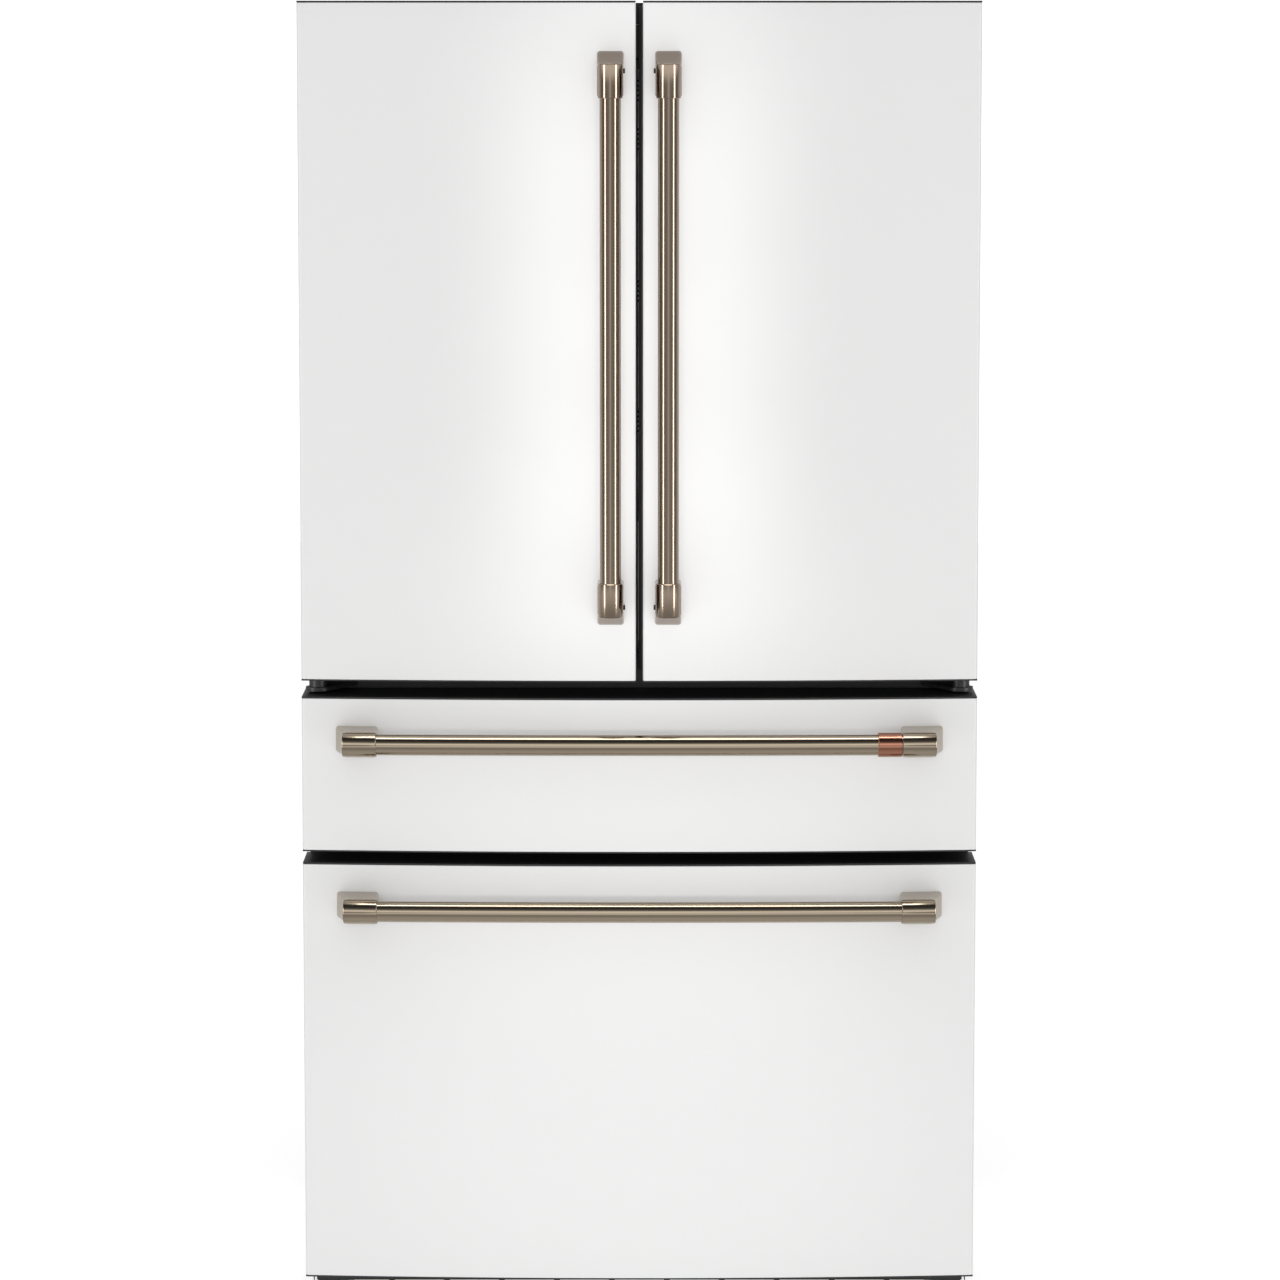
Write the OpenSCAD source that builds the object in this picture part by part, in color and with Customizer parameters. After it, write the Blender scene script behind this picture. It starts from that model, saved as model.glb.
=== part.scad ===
// French door refrigerator: two hinged fresh-food doors over a middle drawer and a freezer drawer.
// Millimetres. +Z is up, the doors face -Y. The origin is on the floor under the middle of the overall box.

/* [Overall] */
// Width over the door and drawer fronts
front_w = 908; // [900:1:914]
// Depth from the back cover to the front of the door handles
overall_d = 794; // [780:1:840]
// Height of the door tops above the floor
overall_h = 1775; // [1770:1:1800]
// Width of the cabinet behind the fronts
case_w = 900; // [896:1:900]
// Height of the cabinet top above the floor
case_h = 1743; // [1740:1:1745]

/* [Fronts] */
// Floor to the bottom edge of the freezer front
floor_gap = 50; // [48:1:54]
// Height of the freezer front
freezer_h = 571; // [568:1:572]
// Gap between the freezer front and the middle drawer
lower_gap = 15; // [13:1:17]
// Height of the middle drawer front
drawer_h = 210.5; // [209:0.5:213]
// Gap between the middle drawer and the doors
upper_gap = 21.5; // [20:0.5:23]
// Gap between the two doors
centre_gap = 9.3; // [8:0.1:12]
// How far the fronts bulge forward at the middle of the refrigerator
bow = 19; // [14:1:24]
// Depth of a front at its outer edge, gasket included
front_t = 102; // [100:1:106]

/* [Handles] */
// How far the handles stand out from the fronts
handle_reach = 64.5; // [60:0.5:68]
// Diameter of the handle bars
bar_d = 28; // [26:1:29]
// Diameter of the collars at the bar ends
ferrule_d = 33; // [31:1:34]
// Length of the collars
ferrule_l = 45.5; // [42:0.5:50]
// Width of the handle posts
post_w = 35; // [34:1:38]
// How far the foot of a door handle's post runs out past its collar
door_tail = 16.5; // [10:0.5:18]
// The same on the drawer handles
drawer_tail = 16.5; // [10:0.5:18]
// Centre line of a door handle from the middle of the refrigerator
door_handle_x = 38.4; // [37:0.1:42]
// Length of a door handle over its post feet
door_handle_l = 764.5; // [740:0.5:770]
// Bottom of the door to the lower post foot
door_handle_rise = 77; // [70:1:90]
// Outer end of a drawer handle's foot from the middle of the refrigerator
drawer_handle_x = 412; // [400:1:416]
// Top edge of a drawer front to its handle's centre line
drawer_handle_drop = 57; // [54:1:62]
// Radius of the drawer handles' curve
drawer_bar_r = 8800; // [6000:100:12000]
// Length of the copper-coloured band beside the right-hand collar
band_l = 32; // [28:1:36]

/* [Storage] */
// Height of the two rows of split glass shelves above the floor
shelf_z = [1270, 1480];
// Height of the door bins' floors above the floor
bin_z = [1066, 1250, 1440];
// Depth of a door bin
bin_d = 118; // [100:1:120]

/* [Hidden] */
$fn = 64;

// Colours
matte_white = [0.93, 0.93, 0.92];
liner_white = [0.96, 0.96, 0.95];
bronze = [0.50, 0.42, 0.33];
copper = [0.72, 0.42, 0.34];
black = [0.09, 0.09, 0.09];
charcoal = [0.18, 0.18, 0.19];
steel = [0.62, 0.63, 0.64];
clear_blue = [0.80, 0.90, 0.92, 0.5];

// Heights of the fronts
freezer_z = [floor_gap, floor_gap + freezer_h];
drawer_z = [freezer_z[1] + lower_gap, freezer_z[1] + lower_gap + drawer_h];
door_z = [drawer_z[1] + upper_gap, overall_h];

// Depths: y_back is the back of the machine cover and y_case the cabinet's front face
y_back = overall_d / 2;
y_apex = -overall_d / 2 + handle_reach;
y_edge = y_apex + bow;
y_case = y_edge + front_t;
gasket_t = 12;
y_core = y_case - gasket_t;          // back plane of the doors and drawer fronts
half_w = front_w / 2;
half_case = case_w / 2;
half_gap = centre_gap / 2;
bow_r = (half_w * half_w + bow * bow) / (2 * bow);   // radius of the bowed front surface
bow_y = y_apex + bow_r;                              // its axis, behind the refrigerator

// Sheet and wall sizes
sheet_t = 1;
liner_t = 3;
slack = 0.2;                         // gap left between parts that lie against each other
frame_t = 2;                         // the black front flange
cap_t = 14;                          // depth of the plastic caps inside a skin
cap_lip = 2;                         // the part of a cap that shows beyond the skin
trim_t = 3;

// Compartments: inner faces of the liners
cavity_x = 405;
cavity_back = y_back - 50;
fresh_z = [890, 1698];
drawer_cavity_z = [657, 826];
freezer_cavity_z = [102, 600];
step_z = 293;                        // the freezer is shallower below this, over the machine compartment
step_back = 150;
machine_y = step_back + 45;          // front of the machine compartment
machine_z = [60, 250];

// Hinges
hinge_x = half_w - 20;
hinge_y = y_case - 57;
hinge_pin_r = 6;
lower_pin_r = 7;
pin_fit = 0.05;
pocket_x = hinge_x - 26;
pocket_y = hinge_y - 34;
pocket_z = case_h;
boss_h = 35;

// Handles
axis_out = handle_reach - ferrule_d / 2;             // bar centre line to the front surface at its apex
door_bar_z = [door_z[0] + door_handle_rise, door_z[0] + door_handle_rise + door_handle_l];
socket_l = 15;                       // how far a bar enters its collar
bar_y = y_apex - axis_out;                           // front-most point of every bar's centre line
bar_arc_y = bar_y + drawer_bar_r;                    // axis of the drawer bars' curve
band_x = drawer_handle_x - drawer_tail - ferrule_l;  // mouth of a drawer handle's right-hand collar
drawer_foot_extra = 6;               // the drawer fronts fall back this much faster than their bars

// Slides
rail_y = [y_case + 8, 300];
drawer_rail_z = 742;
freezer_rail_z = 352;

// Flipper mullion, on the left door
mullion_pivot = [-56, y_case + 11];
mullion_z = [fresh_z[0] + 3, fresh_z[1] - 3];
ear_z = [970, 1610];
ear_t = 8;
ear_r = 6;
ear_pin = 12;                        // how far the ears' pins stand out above and below
ear_pin_r = 3;

leg_x = 410;
leg_y = y_case + 30;
leg_r = 6;
roller_r = 28;
roller_y = 352;
fan_at = [-40, 300, 150];
gland_at = [-385, y_back - 5, 230];     // where the power cord leaves the machine compartment
gland_r = 11;
fan_shaft_r = 3;

// ---------- helpers ----------

// A box from its lowest to its highest corner
module span(lo, hi) {
    translate(lo) cube(hi - lo);
}

// The same shape on both sides of the middle
module both_sides() {
    children();
    mirror([1, 0, 0]) children();
}

// The right-hand copy of a left-hand part
module right_hand() {
    mirror([1, 0, 0]) children();
}

// A block whose front follows the bowed front surface, inset by some depth
module bowed_block(x, z, back, inset = 0) {
    translate([0, 0, z[0]]) linear_extrude(z[1] - z[0]) intersection() {
        translate([0, bow_y]) circle(r = bow_r - inset, $fn = 720);
        translate([x[0], y_apex - 5]) square([x[1] - x[0], back - y_apex + 5]);
    }
}

// Rectangular ring in the XZ plane, from y[0] to y[1]
module ring_xz(x, y, z, wall) {
    difference() {
        span([x[0], y[0], z[0]], [x[1], y[1], z[1]]);
        span([x[0] + wall, y[0] - 1, z[0] + wall], [x[1] - wall, y[1] + 1, z[1] - wall]);
    }
}

// Open-topped box
module tub_box(lo, hi, wall) {
    difference() {
        span(lo, hi);
        span(lo + [wall, wall, wall], [hi[0] - wall, hi[1] - wall, hi[2] + 1]);
    }
}

// ---------- fronts ----------

// Steel wrap of a front: face and side returns. free_edge is the side that ends behind a plastic trim.
module front_skin(x, z, free_edge = 0) {
    difference() {
        bowed_block(x, [z[0] + cap_lip, z[1] - cap_lip], y_core - 2);
        bowed_block([x[0] + sheet_t, x[1] - sheet_t], [z[0] - 1, z[1] + 1], y_core + 10, sheet_t);
        if (free_edge != 0)
            span([x[1] - sheet_t - 0.5, y_apex + 9, z[0] - 1], [x[1] + 1, y_core + 10, z[1] + 1]);
    }
}

// Foam-filled body of a front behind its skin
module front_core(x, z) {
    fit = sheet_t + slack;
    bowed_block([x[0] + fit, x[1] - fit], [z[0] + cap_t + slack, z[1] - cap_t - slack], y_core, fit);
}

// Plastic end cap of a front: a lip that shows and a plug inside the skin. end is 0 for the bottom, 1 for
// the top.
module front_cap(x, z, end) {
    lip_z = end == 0 ? [z[0], z[0] + cap_lip] : [z[1] - cap_lip, z[1]];
    plug_z = end == 0 ? [z[0] + cap_lip, z[0] + cap_t] : [z[1] - cap_t, z[1] - cap_lip];
    bowed_block(x, lip_z, y_core);
    bowed_block([x[0] + sheet_t + slack, x[1] - sheet_t - slack], plug_z, y_core, sheet_t + slack);
}

module front_gasket(x, z) {
    ring_xz(x, [y_core, y_case - slack], z, 15);
}

// ---------- handles ----------

// Collar and post at a bar's end. The bar's centre line is the X axis, the collar starts at x = 0 and the
// front that carries the post lies foot_y behind the centre line.
module handle_post(tail, foot_y = axis_out) {
    rotate([0, 90, 0]) rotate_extrude() polygon([
        [0, 0], [ferrule_d / 2 - 2.5, 0], [ferrule_d / 2 - 0.7, 0.7], [ferrule_d / 2, 2.5],
        [ferrule_d / 2, ferrule_l], [bar_d / 2 + pin_fit, ferrule_l],
        [bar_d / 2 + pin_fit, ferrule_l - socket_l], [0, ferrule_l - socket_l]
    ]);
    difference() {
        translate([0, 0, -post_w / 2]) linear_extrude(post_w)
            polygon([[-tail, foot_y + 4], [-tail, foot_y - 3], [0.5, 8], [0.5, 0], [ferrule_l, 0],
                     [ferrule_l, foot_y + 4]]);
        rotate([0, 90, 0]) translate([0, 0, -1]) cylinder(r = ferrule_d / 2 - 1, h = ferrule_l + 2);
    }
}

// Set screw that stands out of a post's side
module post_screw() {
    translate([10, axis_out - 20, post_w / 2 - 1]) cylinder(r = 3, h = 3.5);
}

// Everything in front of the bowed surface
module clear_of_front() {
    difference() {
        children();
        translate([0, bow_y, 0]) cylinder(r = bow_r + 0.1, h = overall_h, $fn = 720);
    }
}

module door_handle_posts() {
    clear_of_front() translate([-door_handle_x, bar_y, 0]) {
        translate([0, 0, door_bar_z[0] + door_tail]) rotate([0, -90, 0]) {
            handle_post(door_tail);
            mirror([0, 0, 1]) post_screw();
        }
        translate([0, 0, door_bar_z[1] - door_tail]) rotate([0, 90, 0]) {
            handle_post(door_tail);
            post_screw();
        }
    }
}

module door_handle_bar() {
    inset = door_tail + ferrule_l - socket_l + slack;
    translate([-door_handle_x, bar_y, door_bar_z[0] + inset])
        cylinder(d = bar_d, h = door_handle_l - 2 * inset);
}

// Places a part at a distance x to the right along the curve of a drawer handle, facing back to the middle
module on_drawer_bar(x, z) {
    turn = asin(x / drawer_bar_r);
    translate([0, bar_arc_y, z[1] - drawer_handle_drop]) rotate([0, 0, turn]) translate([0, -drawer_bar_r, 0])
        mirror([1, 0, 0]) children();
}

// The collar's axis is the tangent at its mouth, so that the curved bar fits its socket
module drawer_handle_posts(z) {
    clear_of_front() both_sides() on_drawer_bar(band_x, z) translate([-ferrule_l, 0, 0])
        handle_post(drawer_tail, axis_out + drawer_foot_extra);
}

module drawer_handle_bar(z) {
    half_turn = asin((band_x + socket_l - slack) / drawer_bar_r);
    translate([0, bar_arc_y, z[1] - drawer_handle_drop]) rotate([0, 0, -90 - half_turn])
        rotate_extrude(angle = 2 * half_turn, $fn = 1440) translate([drawer_bar_r, 0])
            circle(d = bar_d, $fn = 48);
}

// Copper-coloured band on the middle drawer's handle, beside the right-hand collar
module drawer_handle_band() {
    on_drawer_bar(band_x, drawer_z) rotate([0, 90, 0]) difference() {
        translate([0, 0, slack]) cylinder(d = ferrule_d, h = band_l - slack);
        translate([0, 0, -1]) cylinder(d = bar_d + 0.4, h = band_l + 2);
    }
}

// ---------- doors ----------

left_x = [-half_w, -half_gap];
dyke_x = [-400, -68];
dyke_y = y_core + 40;
dyke_z = [door_z[0] + 36, fresh_z[1] - 8];
dyke_wall = 28;

// The hinge pocket at the top outer corner of a door, where the hinge arm and its cover sit
module hinge_pocket() {
    span([-half_w - 5, pocket_y, pocket_z], [-pocket_x, y_core + 20, overall_h + 5]);
}

// The block of plastic round a hinge pocket and the upper hinge pin
module pocket_block(grow = 0) {
    span([-half_w + sheet_t + slack - grow, pocket_y - 4 - grow, pocket_z - boss_h - grow],
         [-pocket_x + 4 + grow, y_core, overall_h - cap_t + 1]);
}

module lower_boss(grow = 0) {
    span([-half_w + sheet_t + slack - grow, hinge_y - 22 - grow, door_z[0] + cap_t - 1],
         [-hinge_x + 22 + grow, hinge_y + 22 + grow, door_z[0] + boss_h + grow]);
}

module door_skin() {
    difference() {
        front_skin(left_x, door_z, 1);
        hinge_pocket();
    }
}

// Inner panel with its raised frame, moulded on the foam core. ears carry the flipper mullion.
module door_liner(ears = false) {
    difference() {
        union() {
            difference() {
                front_core([left_x[0], left_x[1] - trim_t + sheet_t], door_z);
                pocket_block(slack);
                lower_boss(slack);
            }
            ring_xz(dyke_x, [y_core - 1, dyke_y], dyke_z, dyke_wall);
        }
        hinge_pocket();
    }
    if (ears)
        for (z = ear_z) {
            translate([0, mullion_pivot[1], z])
                span([dyke_x[1] - 1, -ear_r, 0], [mullion_pivot[0], ear_r, ear_t]);
            translate([mullion_pivot[0], mullion_pivot[1], z]) cylinder(r = ear_r, h = ear_t);
            translate([mullion_pivot[0], mullion_pivot[1], z - ear_pin])
                cylinder(r = ear_pin_r, h = ear_t + 2 * ear_pin);
        }
}

module door_edge_trim() {
    // Top cap with the hinge pocket and the upper bearing
    difference() {
        union() {
            front_cap(left_x, door_z, 1);
            pocket_block();
        }
        hinge_pocket();
        translate([-hinge_x, hinge_y, pocket_z - boss_h - 1])
            cylinder(r = hinge_pin_r + pin_fit, h = boss_h + 2);
    }
    // Bottom cap with the lower bearing
    difference() {
        union() {
            front_cap(left_x, door_z, 0);
            lower_boss();
        }
        translate([-hinge_x, hinge_y, door_z[0] - 1]) cylinder(r = lower_pin_r + pin_fit, h = boss_h + 2);
    }
    // Strip along the free edge
    span([left_x[1] - trim_t, y_apex + 9.5, door_z[0] + cap_t + slack],
         [left_x[1], y_core, door_z[1] - cap_t - slack]);
}

module door_gasket() {
    front_gasket([-hinge_x + 4, left_x[1] - 4], [door_z[0] + 5, case_h - 24]);
}

module door_bins() {
    x = [dyke_x[0] + dyke_wall + 0.5, dyke_x[1] - dyke_wall - 0.5];
    y0 = y_core + 0.5;
    for (z = bin_z)
        difference() {
            translate([x[0], 0, 0]) rotate([90, 0, 90]) linear_extrude(x[1] - x[0])
                polygon([[y0, z], [y0 + bin_d - 14, z], [y0 + bin_d, z + 92], [y0 + bin_d - 8, z + 98],
                         [y0, z + 98]]);
            translate([x[0] + 3, 0, 0]) rotate([90, 0, 90]) linear_extrude(x[1] - x[0] - 6)
                polygon([[y0 + 3, z + 3], [y0 + bin_d - 17, z + 3], [y0 + bin_d - 3, z + 99],
                         [y0 + 3, z + 99]]);
        }
}

// Hinged centre bar that closes the gap behind the doors
module flipper_mullion() {
    color(charcoal) difference() {
        translate([0, 0, mullion_z[0]]) linear_extrude(mullion_z[1] - mullion_z[0])
            polygon([[-62, y_case + 0.3], [-2, y_case + 0.3], [-2, y_case + 8], [-8, y_case + 22],
                     [-56, y_case + 22], [-62, y_case + 16]]);
        for (z = ear_z) {
            span([-70, y_case - 1, z - 0.5], [-46, y_case + 30, z + ear_t + 0.5]);
            translate([mullion_pivot[0], mullion_pivot[1], z - ear_pin - 2])
                cylinder(r = ear_pin_r + pin_fit, h = ear_t + 2 * ear_pin + 4);
        }
    }
}

// ---------- cabinet ----------

module cabinet_shell() {
    color(matte_white) difference() {
        span([-half_case, y_case, 20], [half_case, y_back - 3, case_h]);
        span([-half_case + sheet_t, y_case - 1, 10], [half_case - sheet_t, y_back, case_h - sheet_t]);
    }
}

// Galvanised back sheet, and the louvred cover of the machine compartment below it
module rear_panel() {
    color(steel) span([-half_case, y_back - 3, machine_z[1] + 2], [half_case, y_back - 2, case_h]);
    color(charcoal) difference() {
        span([-half_case, y_back - 3, 40], [half_case, y_back, machine_z[1]]);
        for (row = [0:6], side = [-1, 1])
            translate([side * 220, 0, 70 + row * 22]) span([-170, y_back - 5, 0], [170, y_back + 1, 8]);
        translate(gland_at) rotate([90, 0, 0]) cylinder(r = gland_r, h = 20, center = true);
    }
    color(black) translate(gland_at) rotate([90, 0, 0]) difference() {
        cylinder(r = gland_r - slack, h = 10, center = true);
        cylinder(r = gland_r - 4, h = 12, center = true);
    }
}

foam_x = half_case - sheet_t - slack;
foam_y = [y_case + frame_t, y_back - 3 - slack];
wall_x = cavity_x + liner_t + slack;
joint = 0.5;

module insulation_foam() {
    back_y = cavity_back + liner_t + slack;
    out = liner_t + slack;
    color([0.93, 0.88, 0.68]) {
        both_sides() span([wall_x, foam_y[0], machine_z[0]], [foam_x, foam_y[1], case_h - sheet_t - slack]);
        // roof, back and the two dividers
        span([-wall_x + joint, foam_y[0], fresh_z[1] + out],
             [wall_x - joint, foam_y[1], case_h - sheet_t - slack]);
        span([-wall_x + joint, back_y, step_z - out + joint],
             [wall_x - joint, foam_y[1], fresh_z[1] + out - joint]);
        span([-wall_x + joint, foam_y[0], drawer_cavity_z[1] + out],
             [wall_x - joint, back_y - joint, fresh_z[0] - out]);
        span([-wall_x + joint, foam_y[0], freezer_cavity_z[1] + out],
             [wall_x - joint, back_y - joint, drawer_cavity_z[0] - out]);
        // freezer floor, riser and step over the machine compartment
        span([-wall_x + joint, foam_y[0], machine_z[0]],
             [wall_x - joint, step_back + out, freezer_cavity_z[0] - out]);
        span([-wall_x + joint, step_back + out + joint, machine_z[0]],
             [wall_x - joint, machine_y, machine_z[1]]);
        span([-wall_x + joint, step_back + out + joint, machine_z[1] + joint],
             [wall_x - joint, foam_y[1], step_z - out]);
    }
}

// Thin moulded box, open at the front
module liner_box(z, back) {
    difference() {
        span([-cavity_x - liner_t, y_case + frame_t, z[0] - liner_t],
             [cavity_x + liner_t, back + liner_t, z[1] + liner_t]);
        span([-cavity_x, y_case, z[0]], [cavity_x, back, z[1]]);
    }
}

module fresh_food_liner() {
    color(liner_white) liner_box(fresh_z, cavity_back);
}

module drawer_liner() {
    color(liner_white) liner_box(drawer_cavity_z, cavity_back);
}

// Freezer liner with the step over the machine compartment
module freezer_liner() {
    color(liner_white) difference() {
        union() {
            span([-cavity_x - liner_t, y_case + frame_t, freezer_cavity_z[0] - liner_t],
                 [cavity_x + liner_t, step_back + liner_t, freezer_cavity_z[1] + liner_t]);
            span([-cavity_x - liner_t, y_case + frame_t, step_z - liner_t],
                 [cavity_x + liner_t, cavity_back + liner_t, freezer_cavity_z[1] + liner_t]);
        }
        span([-cavity_x, y_case, freezer_cavity_z[0]], [cavity_x, step_back, freezer_cavity_z[1]]);
        span([-cavity_x, y_case, step_z], [cavity_x, cavity_back, freezer_cavity_z[1]]);
    }
    color(liner_white) both_sides()
        span([cavity_x - 14, y_case + 20, 392], [cavity_x, 270, 397]);
}

// Black flange round the three openings
module front_frame() {
    color(black) difference() {
        span([-half_case + sheet_t + slack, y_case, 44],
             [half_case - sheet_t - slack, y_case + frame_t - slack, case_h - sheet_t - slack]);
        for (z = [fresh_z, drawer_cavity_z, freezer_cavity_z])
            span([-cavity_x, y_case - 1, z[0]], [cavity_x, y_case + frame_t + 1, z[1]]);
    }
}

grille_y = [y_case + 5, y_case + 10];

module base_frame() {
    x0 = half_case - 14;
    x1 = half_case - 4;
    color(charcoal) difference() {
        union() {
            both_sides() span([x0, grille_y[1] + slack, 18], [x1, y_back - 6, 58]);
            span([-x1, y_case + 18, 30], [x1, y_case + 44, 58]);
            span([-x1, machine_y + 4, 44], [x1, y_back - 6, 48]);
            both_sides() span([x0 - 34, roller_y - 14, 18], [x0 - 31, roller_y + 14, 45]);
        }
        both_sides() translate([leg_x, leg_y, 20]) cylinder(r = leg_r + pin_fit, h = 50);
        translate([-half_case, roller_y, roller_r]) rotate([0, 90, 0]) cylinder(r = 4 + pin_fit, h = case_w);
        both_sides() span([x0 - 28, roller_y - roller_r - 4, 40], [x0 - 4, roller_y + roller_r + 4, 50]);
    }
}

module base_grille() {
    color(black) difference() {
        span([-half_case + 6, grille_y[0], 8], [half_case - 6, grille_y[1], 46]);
        for (row = [0:2], i = [-5:5])
            span([i * 76 - 34, y_case, 15 + row * 10], [i * 76 + 34, y_case + 12, 19 + row * 10]);
    }
}

// Covers over the top hinges, with the wiring cover between them
module top_covers() {
    z = [case_h + slack, overall_h - 3];
    nose_z = case_h + 8.2;
    color(black) {
        both_sides() difference() {
            union() {
                span([-half_case + 2, y_case + 2, z[0]], [-322, y_case + 130, z[1]]);
                span([-hinge_x - 16, hinge_y, nose_z], [-hinge_x + 18, y_case + 10, z[1]]);
                translate([-hinge_x, hinge_y, nose_z]) cylinder(r = 20, h = z[1] - nose_z);
            }
            span([-half_case + 4.5, y_case + 4.5, z[0] - 1], [-324.5, y_case + 127.5, z[1] - 2.5]);
            span([-hinge_x - 14, y_case - 1, z[0] - 1], [-hinge_x + 16, y_case + 8, z[1] - 2.5]);
        }
        difference() {
            span([-321.5, y_case + 2, z[0]], [321.5, y_case + 62, z[1]]);
            span([-319, y_case + 4.5, z[0] - 1], [319, y_case + 59.5, z[1] - 2.5]);
        }
    }
}

// Upper hinge arms and lower hinge brackets with their pins
module door_hinges() {
    lower_z = drawer_z[1] + 3;
    color(steel) both_sides() {
        // upper
        span([-hinge_x - 11, y_case + 10, case_h + slack], [-380, y_case + 100, case_h + 7.5]);
        span([-hinge_x - 11, hinge_y, case_h + 1.5], [-hinge_x + 14, y_case + 12, case_h + 7.5]);
        translate([-hinge_x, hinge_y, case_h + 1.5]) cylinder(r = 17, h = 6);
        translate([-hinge_x, hinge_y, case_h - boss_h + 3]) cylinder(r = hinge_pin_r, h = boss_h + 3);
        // lower
        span([-half_case + 2, y_case - 3 - slack, lower_z - 4], [-382, y_case - slack, lower_z + 20]);
        translate([0, 0, lower_z]) linear_extrude(5) {
            polygon([[-half_case + 7, y_case - 1], [-382, y_case - 1], [-hinge_x + 15, hinge_y - 8],
                     [-hinge_x - 15, hinge_y - 8]]);
            translate([-hinge_x, hinge_y]) circle(r = 17);
        }
        translate([-hinge_x, hinge_y, lower_z]) cylinder(r = 12, h = upper_gap - 3 - slack);
        translate([-hinge_x, hinge_y, lower_z]) cylinder(r = lower_pin_r, h = upper_gap + boss_h - 8);
    }
}

// ---------- fresh food compartment ----------

shelf_x = [7, 400];
shelf_y = [y_case + 128, cavity_back - 12];

module glass_shelves() {
    color(clear_blue) for (z = shelf_z)
        both_sides() span([shelf_x[0] + 9, shelf_y[0] + 9, z - 3.8], [shelf_x[1] - 9, shelf_y[1] - 9, z]);
}

// Frames round the glass, on cantilever arms that hook into two pairs of rear tracks
module shelf_frames() {
    color(steel) both_sides() for (x = [40, 360]) {
        span([x - 6, shelf_y[1] + 3, 1080], [x + 6, cavity_back - slack, 1560]);
        for (z = shelf_z)
            translate([x - 2, 0, 0]) rotate([90, 0, 90]) linear_extrude(4)
                polygon([[shelf_y[0] + 130, z - 12], [shelf_y[0] + 130, z - 20], [shelf_y[1] + 4, z - 44],
                         [shelf_y[1] + 4, z - 12]]);
    }
    color([0.86, 0.87, 0.88]) for (z = shelf_z)
        both_sides() difference() {
            span([shelf_x[0], shelf_y[0], z - 12], [shelf_x[1], shelf_y[1], z + 3]);
            span([shelf_x[0] + 14, shelf_y[0] + 14, z - 13], [shelf_x[1] - 14, shelf_y[1] - 14, z + 4]);
            span([shelf_x[0] + 8.8, shelf_y[0] + 8.8, z - 4], [shelf_x[1] - 8.8, shelf_y[1] - 8.8, z + 4]);
        }
}

crisper_top = 1046;
crisper_front = y_case + 148;

// Glass-topped cover over the crispers, with the wall between them
module crisper_cover() {
    color([0.86, 0.87, 0.88]) {
        span([-cavity_x + 1, crisper_front - 14, crisper_top + 4],
             [cavity_x - 1, cavity_back - 2, crisper_top + 14]);
        span([-3, crisper_front - 8, fresh_z[0] + 1], [3, cavity_back - 2, crisper_top + 5]);
    }
}

module crisper(side) {
    x = side < 0 ? [-400, -6] : [6, 400];
    color([0.88, 0.93, 0.95, 0.6]) difference() {
        union() {
            span([x[0], crisper_front, fresh_z[0] + 2], [x[1], cavity_back - 14, crisper_top]);
            span([x[0] + 70, crisper_front - 8, crisper_top - 26],
                 [x[1] - 70, crisper_front + 1, crisper_top - 18]);
        }
        span([x[0] + 3, crisper_front + 4, fresh_z[0] + 5], [x[1] - 3, cavity_back - 17, crisper_top + 1]);
    }
}

module control_panel() {
    color(charcoal) span([-120, y_case + 100, fresh_z[1] - 16], [120, y_case + 164, fresh_z[1] - slack]);
}

// ---------- machine compartment ----------

module compressor() {
    color(black) translate([230, 296, 0]) {
        translate([0, 0, 62]) cylinder(r = 74, h = 88);
        translate([0, 0, 150]) intersection() {
            sphere(r = 74);
            cylinder(r = 80, h = 60);
        }
        for (x = [-84, 84], y = [-60, 60])
            translate([x, y, 48 + slack]) cylinder(r = 11, h = 14);
        span([-96, -72, 60], [96, 72, 64]);
    }
}

// Finned condenser block with the fan's motor in front of it
module condenser_coil() {
    color(steel) {
        for (i = [0:15])
            span([-330 + i * 14, 225, 62], [-329 + i * 14, 370, 232]);
        for (row = [0:4], bank = [0:1])
            translate([-334, 262 + bank * 70, 80 + row * 34]) rotate([0, 90, 0]) cylinder(r = 4, h = 218);
        span([-332, 230, 48 + slack], [-118, 236, 63]);
        span([-332, 358, 48 + slack], [-118, 364, 63]);
        // motor on a bracket, with the shaft
        translate([-112, fan_at[1], fan_at[2]]) rotate([0, 90, 0]) cylinder(r = 26, h = 44);
        translate([-112, fan_at[1], fan_at[2]]) rotate([0, 90, 0]) cylinder(r = fan_shaft_r, h = 92);
        span([-118, fan_at[1] - 30, 48 + slack], [-111, fan_at[1] + 30, fan_at[2] + 30]);
    }
}

module condenser_fan() {
    color(charcoal) translate(fan_at) rotate([0, 90, 0]) difference() {
        union() {
            translate([0, 0, -10]) cylinder(r = 18, h = 26);
            for (i = [0:4])
                rotate([0, 0, i * 72]) translate([14, 0, 3]) rotate([28, 0, 0])
                    translate([0, -16, -1]) cube([54, 32, 2]);
        }
        translate([0, 0, -11]) cylinder(r = fan_shaft_r + pin_fit, h = 28);
    }
}

// Evaporator coil behind its cover at the back of the freezer
module evaporator_unit() {
    color(steel) {
        for (i = [0:18])
            span([-270 + i * 30, 300, 330], [-268 + i * 30, 340, 560]);
        for (row = [0:6])
            translate([-290, 320, 346 + row * 33]) rotate([0, 90, 0]) cylinder(r = 4, h = 580);
    }
    color(liner_white) difference() {
        span([-cavity_x + 2, 286, step_z + 2], [cavity_x - 2, 290, freezer_cavity_z[1] - 2]);
        for (i = [-6:6])
            span([i * 50 - 18, 280, 556], [i * 50 + 18, 295, 562]);
    }
}

// ---------- slides ----------

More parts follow.
